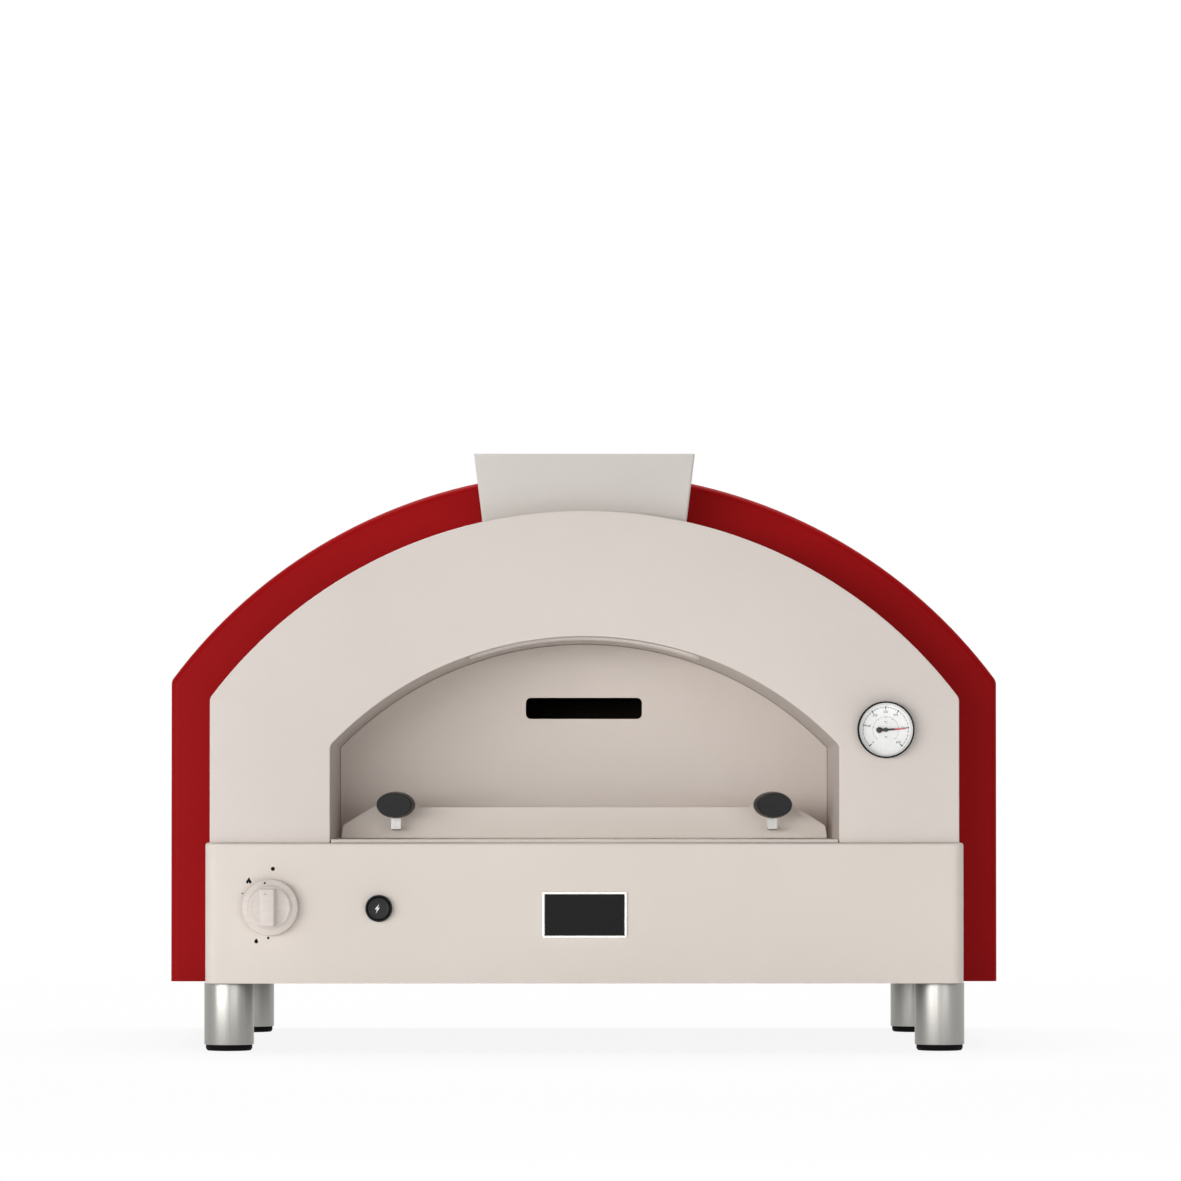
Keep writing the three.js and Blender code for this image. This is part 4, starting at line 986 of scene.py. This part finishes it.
OFF_DOT = {"pixel": (272.6, 868.7), "radius": 2 * MM}
HIGH_DOT = {"pixel": (242.2, 893.2), "radius": 0.7 * MM}
LOW_DOT = {"pixel": (268.0, 937.7), "radius": 1.2 * MM}
POINTER_DOT = {"pixel": (264.9, 882.7), "radius": 1 * MM, "forward": 0.3 * MM}
GRIP_DOT = {"pixel": (265.8, 893.4), "radius": 0.5 * MM}
HIGH_FLAME = {
    "pixel": (248.5, 880.2), "height": 6.6 * MM, "corner_share": 0.06,
    "shares": [(0, -0.2), (0.12, -0.5), (0.36, -0.42), (0.4, -0.14), (0.2, 0.14), (0.03, 0.5),
               (-0.18, 0.12), (-0.4, -0.14), (-0.36, -0.42), (-0.12, -0.5)],
}
LOW_FLAME = {
    "pixel": (256.0, 940.6), "height": 5.2 * MM, "corner_share": 0.1,
    "shares": [(0, -0.5), (0.34, -0.34), (0.36, -0.04), (0, 0.5), (-0.36, -0.04), (-0.34, -0.34)],
}
BOLT = {
    "pixel": (377.1, 908.3), "height": 9.2 * MM, "corner_share": 0, "forward": 0.02 * MM,
    "shares": [(0.2, 0.5), (-0.27, -0.08), (-0.04, -0.06), (-0.16, -0.5), (0.27, 0.12), (0.06, 0.1)],
}


def at_fascia(pixel):
    """The place on the fascia's face of a pixel of the photograph, as (x, z)."""
    across, down = pixel
    return (PHOTO["x"] + (across - PHOTO["pixel"][0]) * PHOTO["scale"],
            PHOTO["z"] - (down - PHOTO["pixel"][1]) * PHOTO["scale"])


def printed(outline, face):
    """A printed shape, a hair in front of a face."""
    return prism(outline, face - INK_LIFT, face - INK_GAP)


def printed_dot(place, radius, face):
    return printed(oval(*place, radius, radius, DOT_STEPS), face)


def dot_mark(mark, face):
    return printed_dot(at_fascia(mark["pixel"]), mark["radius"], face)


def sign_mark(mark, face):
    x, z = at_fascia(mark["pixel"])
    height = mark["height"]
    outline = [(x + across * height, z + up * height) for across, up in mark["shares"]]
    if mark["corner_share"]:
        outline = rounded_corners(outline, mark["corner_share"] * height)
    return printed(outline, face)


def build_marks():
    marks = joined(
        dot_mark(OFF_DOT, FRONT),
        dot_mark(HIGH_DOT, FRONT),
        dot_mark(LOW_DOT, FRONT),
        sign_mark(HIGH_FLAME, FRONT),
        sign_mark(LOW_FLAME, FRONT),
    )
    piece("printed_marks", marks, INK, "oven_body")


# Controls: knob and igniter

def grip_ring(y, drafted, drawn):
    """The grip's outline at one depth: its right flank slants, its other sides hardly do."""
    left = -GRIP["left"] + GRIP["draft"] * drafted + drawn
    right = GRIP["right"] - GRIP["flank"] * drafted - drawn
    height = 2 * (GRIP["height"] - GRIP["draft"] * drafted - drawn)
    outline = rounded_rectangle(KNOB_PLACE.x + (left + right) / 2, KNOB_PLACE.z, right - left, height,
                                GRIP["corner"])
    return [(x, y, z) for x, z in outline]


def skirt_front_at(place):
    """How far the knob's sloping skirt stands forward at a place."""
    from_middle = math.hypot(place[0] - KNOB_PLACE.x, place[1] - KNOB_PLACE.z)
    share = (KNOB["skirt"] - from_middle) / (KNOB["skirt"] - KNOB["boss"] - KNOB["lean"])
    return FRONT + KNOB["rim_front"] + (KNOB["skirt_front"] - KNOB["rim_front"]) * share


def build_knob():
    soft, boss, front = KNOB["soft"], KNOB["boss"], KNOB["boss_front"]
    dished = front + KNOB["dish"]
    body = turned(softened_profile([
        (KNOB["bore"], KNOB["rear"]), (KNOB["skirt"], KNOB["rear"]),
        (KNOB["skirt"], KNOB["rim_front"]), (boss + KNOB["lean"], KNOB["skirt_front"]),
        (boss, front + soft), (boss - soft, front), (boss - KNOB["dish_start"], front),
        (boss - KNOB["dish_end"], dished), (0, dished),
    ], soft), KNOB_PLACE)
    piece("knob_body", body, CREAM_KNOB, "control_knob", ["control_knob"])

    end = FRONT + GRIP["front"]
    rings = [grip_ring(FRONT + dished, 0, 0)]
    rings += [grip_ring(end + back * soft, drafted, drawn * soft)
              for drafted, back, drawn in GRIP_SHARES]
    grip = loft(rings, round_rings=True, closed=False)
    piece("knob_grip", grip, CREAM_KNOB, "control_knob", ["control_knob"], smooth=50)

    skirt_front = skirt_front_at(at_fascia(POINTER_DOT["pixel"])) - POINTER_DOT["forward"]
    marks = joined(dot_mark(POINTER_DOT, skirt_front), dot_mark(GRIP_DOT, end))
    piece("knob_pointer_marks", marks, INK, "control_knob")


def build_igniter():
    bezel, bore, barrel = IGNITER["bezel"], IGNITER["bore"], IGNITER["barrel"]
    front, soft = -IGNITER["reach"], IGNITER["soft"]
    housing = turned(softened_profile([
        (0, IGNITER["bore_end"]), (bore, IGNITER["bore_end"]), (bore, front + soft),
        (bore + IGNITER["flare"], front), (bezel, front), (bezel, -SEAT), (barrel, -SEAT),
        (barrel, IGNITER["length"]), (0, IGNITER["length"]),
    ], soft), BUTTON_PLACE)
    piece("igniter_bezel", housing, BLACK, "oven_body", ["igniter_housing"])
    button = turned(softened_profile([
        (0, BUTTON["middle_front"]), (BUTTON["dish"], BUTTON["dish_front"]),
        (BUTTON["rim"], BUTTON["front"]), (BUTTON["radius"], BUTTON["front"]),
        (BUTTON["radius"], BUTTON["rear"]), (0, BUTTON["rear"]),
    ], BUTTON["soft"]), BUTTON_PLACE)
    piece("igniter_push_button", button, BUTTON_BLACK, "igniter_button",
          ["igniter_button"])
    bolt = sign_mark(BOLT, FRONT + BUTTON["dish_front"] - BOLT["forward"])
    piece("igniter_bolt_mark", bolt, WHITE_INK, "igniter_button")


# Thermometer

# Where the dial's numbers stand, in degrees round from its right.
SCALE_TURNS = {"0": 225, "100": 168, "200": 127, "300": 90, "400": 56, "500": 5, "600": -45}
SCALE_SPLIT = 5             # small divisions between two numbers
ARC_SPLIT = 5               # degrees in each straight stretch of a printed arc
OUTER_SCALE = {"radius": 22 * MM, "line": 0.3 * MM, "past": 0.3 * MM, "tick": 1.1 * MM,
               "tick_half": 0.14 * MM, "long_tick": 2.6 * MM, "long_half": 0.4 * MM,
               "dot": 0.75 * MM, "number_in": 4.7 * MM, "number": 3.2 * MM}
INNER_SCALE = {"radius": 12.6 * MM, "line": 0.2 * MM, "tick": 1.2 * MM, "tick_half": 0.2 * MM}
DEGREE_SIGNS = {"°C": 7.2 * MM, "°F": -7.6 * MM}
DEGREE_SIGN = 3.4 * MM


def direction(degrees):
    turn = math.radians(degrees)
    return Vector((math.cos(turn), math.sin(turn)))


def on_dial(degrees, radius):
    """A place on the dial, as (x, z)."""
    return Vector((GAUGE_PLACE.x, GAUGE_PLACE.z)) + direction(degrees) * radius


def figures(text, size, place, face):
    """A number or a degree sign as a thin mesh, centred on a place."""
    curve = bpy.data.curves.new("figures", "FONT")
    curve.body = text
    curve.size = size
    curve.align_x = "CENTER"
    curve.align_y = "CENTER"
    curve.extrude = INK_LIFT / 2
    curve.resolution_u = 3
    holder = placed("figures", curve)
    mesh = result_of(holder)
    bpy.data.objects.remove(holder)
    upright = Matrix.Rotation(math.pi / 2, 4, "X")
    mesh.transform(Matrix.Translation((place[0], face - INK_LIFT / 2, place[1])) @ upright)
    mesh.materials.clear()
    return mesh


def dial_arc(scale, face):
    """A scale's thin printed arc."""
    degrees = SCALE_TURNS.values()
    start, end = math.radians(min(degrees)), math.radians(max(degrees))
    steps = round((max(degrees) - min(degrees)) / ARC_SPLIT)
    edges = [arc(GAUGE_PLACE.x, GAUGE_PLACE.z, scale["radius"] + aside, start, end, steps)
             for aside in (scale["line"] / 2, -scale["line"] / 2)]
    return printed(edges[0] + edges[1][::-1], face)


def dial_tick(degrees, near, far, half, face):
    """A short printed bar that points at the dial's middle."""
    along = direction(degrees)
    side = Vector((-along.y, along.x)) * half
    near_place, far_place = on_dial(degrees, near), on_dial(degrees, far)
    corners = [near_place - side, far_place - side, far_place + side, near_place + side]
    return printed([tuple(corner) for corner in corners], face)


def dial_marks():
    """Two plain scales, the outer one numbered, and the two degree signs."""
    face = GAUGE_PLACE.y + DIAL_DISC["front"]
    outer, inner = OUTER_SCALE, INNER_SCALE
    far = outer["radius"] + outer["past"]
    parts = [dial_arc(outer, face), dial_arc(inner, face)]
    turns = list(SCALE_TURNS.values())
    for here, there in zip(turns, turns[1:]):
        for i in range(1, SCALE_SPLIT):
            degrees = here + (there - here) * i / SCALE_SPLIT
            near = outer["radius"] - outer["tick"]
            parts.append(dial_tick(degrees, near, far, outer["tick_half"], face))
    for number, degrees in SCALE_TURNS.items():
        near = outer["radius"] - outer["long_tick"]
        parts.append(dial_tick(degrees, near, far, outer["long_half"], face))
        dot_place = on_dial(degrees, outer["radius"])
        parts.append(printed_dot(dot_place, outer["dot"], face - INK_LIFT))
        number_place = on_dial(degrees, outer["radius"] - outer["number_in"])
        parts.append(figures(number, outer["number"], number_place, face))
        near = inner["radius"] - inner["tick"]
        parts.append(dial_tick(degrees, near, inner["radius"], inner["tick_half"], face))
    for sign, rise in DEGREE_SIGNS.items():
        parts.append(figures(sign, DEGREE_SIGN, (GAUGE_PLACE.x, GAUGE_PLACE.z + rise), face))
    return joined(*parts)


def gauge_ring():
    """The turned bezel, curled in over the glass."""
    bezel, inner, curl = GAUGE["bezel"], GAUGE["case"] + SEAT, GAUGE["curl"]
    front = -GAUGE["reach"]
    return turned(softened_profile([
        (inner, front / 2), (inner, -SEAT), (bezel, -SEAT), (bezel, front + GAUGE["shoulder"]),
        (bezel - curl, front), (inner - curl, front + GAUGE["tilt"]), (inner - curl, front + curl),
        (inner, front + curl), (inner, front / 2),
    ], GAUGE["soft"]), GAUGE_PLACE)


def gauge_liner():
    """The pale ring between the bezel and the dial."""
    inner, lip, front = GAUGE["case"] + SEAT, LINER["lip"], -GAUGE["reach"]
    soft, rear = LINER["soft"], front + LINER["rear"]
    return turned(softened_profile([
        (inner, rear), (inner, front + LINER["front"]), (inner - GAUGE["curl"], front + LINER["front"]),
        (lip + soft, front + LINER["knee"]), (lip, rear), (inner, rear),
    ], soft), GAUGE_PLACE)


def gauge_dial():
    hole, radius = DIAL_DISC["hole"], DIAL_DISC["radius"]
    front, rear = DIAL_DISC["front"], DIAL_DISC["rear"]
    return turned([(hole, rear), (radius, rear), (radius, front), (hole, front), (hole, rear)],
                  GAUGE_PLACE)


def gauge_glass():
    radius, rear = DIAL_DISC["radius"], WINDOW["rear"]
    crown = [(radius * out, WINDOW["front"] + WINDOW["crown"] * back) for out, back in CROWN_SHARES]
    return turned([(0, rear), (radius, rear), *crown], GAUGE_PLACE)


def build_gauge():
    piece("gauge_bezel_ring", gauge_ring(), GAUGE_EDGE, "oven_body", ["gauge_bezel"])
    piece("gauge_bezel_liner", gauge_liner(), GAUGE_WALL, "oven_body", ["gauge_bezel"])
    carried("gauge_case", GAUGE_WALL)
    piece("gauge_dial_face", gauge_dial(), DIAL, "oven_body", ["gauge_dial"])
    piece("gauge_dial_marks", dial_marks(), INK, "oven_body")
    piece("gauge_window", gauge_glass(), GLASS, "oven_body", ["gauge_glass"])


def needle_disc(x, z, disc, steps, front, rear):
    """A round part of the needle with a bevelled front edge."""
    layers = [(0, rear), (0, front + disc["bevel_back"]), (disc["bevel"], front)]
    return column(oval(x, z, disc["radius"], disc["radius"], steps), layers)


def build_needle():
    low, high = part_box("gauge_needle")
    x, z = GAUGE_PLACE.x, GAUGE_PLACE.z
    tail_x, tip_x = x - WEIGHT["out"], x + NEEDLE["tip"]
    tail_half, tip_half = NEEDLE["tail_half"], NEEDLE["tip_half"]
    pointer = prism([(tail_x, z - tail_half), (tip_x, z - tip_half), (tip_x, z + tip_half),
                     (tail_x, z + tail_half)], low.y + NEEDLE["thinner"], high.y - NEEDLE["thinner"])
    hub = needle_disc(x, z, HUB, HUB_STEPS, low.y, high.y)
    weight = needle_disc(tail_x, z, WEIGHT, SMALL_ROUND_STEPS, low.y + WEIGHT["front"], high.y)
    whole = joined(pointer, hub, weight)
    middle = Matrix.Translation(GAUGE_PLACE)
    turn = Matrix.Rotation(math.radians(NEEDLE["degrees"]), 4, "Y")
    whole.transform(middle @ turn @ middle.inverted())
    look = needle_look("needle_paint", seen(10, 10, 11), seen(200, 40, 60), GAUGE_PLACE,
                       NEEDLE["red_from"])
    piece("gauge_pointer", whole, look, "gauge_needle", ["gauge_needle"])


# Door

def door_panel():
    low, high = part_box("door_panel")
    slot = rounded_rectangle(0, SLOT["up"], SLOT["width"], SLOT["height"], SLOT["corner"])
    return prism(arch(MOUTH, low.z, DOOR_INSET), low.y, high.y, [slot])


def handle_plate():
    """The folded plate along the door's foot, with two ears that carry the knobs."""
    low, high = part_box("door_handle_plate")
    knob_x, end, slant = middle_of("door_knob_right").x, high.x, HANDLE["end_slant"]
    inner, outer = knob_x - HANDLE["ear_half"], knob_x + HANDLE["ear_half"]
    right = [(end, low.z), (end - slant, low.z + HANDLE["end_rise"]), (outer, high.z),
             (inner, high.z), (inner - HANDLE["ear_slant"], low.z + HANDLE["band"])]
    left = [(-x, z) for x, z in reversed(right)]
    plate = prism(rounded_corners(right + left, HANDLE["corner"]), low.y, low.y + SHEET)
    shelf = block((slant - end, low.y + HANDLE["shelf_back"], low.z),
                  (end - slant, high.y, low.z + SHEET))
    return joined(plate, shelf)


def oval_knob(name, outward):
    """An oval knob whose flat front facet lies towards the door's edge."""
    low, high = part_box(name)
    middle = middle_of(name)
    half_x, half_z = (high.x - low.x) / 2, (high.z - low.z) / 2
    rings = []
    for drawn, lean, back in OVAL_SHARES:
        y = low.y + (high.y - low.y) * back
        across = middle.x + outward * lean * OVAL_LEAN
        outline = oval(across, middle.z, half_x * (1 - drawn), half_z * (1 - drawn * OVAL_FLATTER))
        rings.append([(x, y, z) for x, z in outline])
    return loft(rings, round_rings=True, closed=False)


def build_door():
    panel = piece("door_slotted_panel", door_panel(), DOOR_CREAM, "door", ["door_panel"])
    soften(panel, DOOR_EDGE, SQUARE_EDGE)
    # The grip plate takes the lighter cream, which paints in light and sets it apart from the door
    # behind it.
    plate = piece("door_grip_plate", handle_plate(), FASCIA_CREAM_PAINTED_LIGHT, "door",
                  ["door_handle_plate"])
    soften(plate, HANDLE["edge"], SQUARE_EDGE)
    for side, outward in (("left", -1), ("right", 1)):
        carried(f"door_stem_{side}", STEEL_STEM, STEM_EDGE)
        knob = oval_knob(f"door_knob_{side}", outward)
        piece(f"door_oval_knob_{side}", knob, BLACK, "door", [f"door_knob_{side}"],
              smooth=24)


# Camera, floor and light

# The lens and the sensor in millimetres, the distance in metres, the turns in degrees.
CAMERA = {"lens": 207.4, "sensor": 36, "distance": 6.6, "pan": 0.336, "tilt": 1.284}
FLOOR_HALF = 12
# A wide soft box from the left, a weaker one from the right and one above, in metres and watts.
LAMPS = {
    "key": {"place": (-3.4, -5.43, 0.8), "width": 6, "height": 1.4, "power": 184},
    "fill": {"place": (2.5, -5.9, 0.8), "width": 4, "height": 1.4, "power": 49},
    "top": {"place": (0, 0.8, 3.4), "width": 3, "height": 2, "power": 118},
}
LAMP_AIM = (0, 0, 0.3)
AMBIENT = 0.12


def build_camera():
    camera = bpy.data.cameras.new("camera")
    camera.lens = CAMERA["lens"]
    camera.sensor_width = CAMERA["sensor"]
    holder = placed("camera", camera)
    holder.location = (PHOTO["x"], FRONT - CAMERA["distance"], PHOTO["z"])
    pan, tilt = math.radians(CAMERA["pan"]), math.radians(CAMERA["tilt"])
    holder.rotation_euler = (math.pi / 2 + tilt, 0, -pan)
    bpy.context.scene.camera = holder


def build_floor():
    mesh = bpy.data.meshes.new("floor")
    corners = [(FLOOR_HALF * x, FLOOR_HALF * y, 0) for x, y in ((-1, -1), (1, -1), (1, 1), (-1, 1))]
    mesh.from_pydata(corners, [], [(0, 1, 2, 3)])
    mesh.materials.append(FLOOR.material)
    placed("floor", mesh)


def build_lamps():
    for name, lamp in LAMPS.items():
        light = bpy.data.lights.new(name, "AREA")
        light.shape = "RECTANGLE"
        light.size = lamp["width"]
        light.size_y = lamp["height"]
        light.energy = lamp["power"]
        holder = placed(name, light)
        holder.location = lamp["place"]
        aim = Vector(LAMP_AIM) - Vector(lamp["place"])
        holder.rotation_euler = aim.to_track_quat("-Z", "Y").to_euler()


def build_backdrop():
    """White where it is looked at, and a faint even light on the object."""
    world = bpy.data.worlds.new("world")
    bpy.context.scene.world = world
    world.use_nodes = True
    sky = Tree(world.node_tree)
    white = sky.node("ShaderNodeBackground", {}, {"Color": WHITE, "Strength": 1.0})
    faint = sky.node("ShaderNodeBackground", {}, {"Color": WHITE, "Strength": AMBIENT})
    sky.shown("World Output", sky.seen_directly(), faint, white)
    bpy.context.scene.view_settings.view_transform = "Standard"


build_camera()
build_floor()
build_lamps()
build_backdrop()
carry_inside()
build_base()
build_badge()
build_casing()
build_hood()
build_shell()
build_marks()
build_knob()
build_igniter()
build_gauge()
build_needle()
build_door()
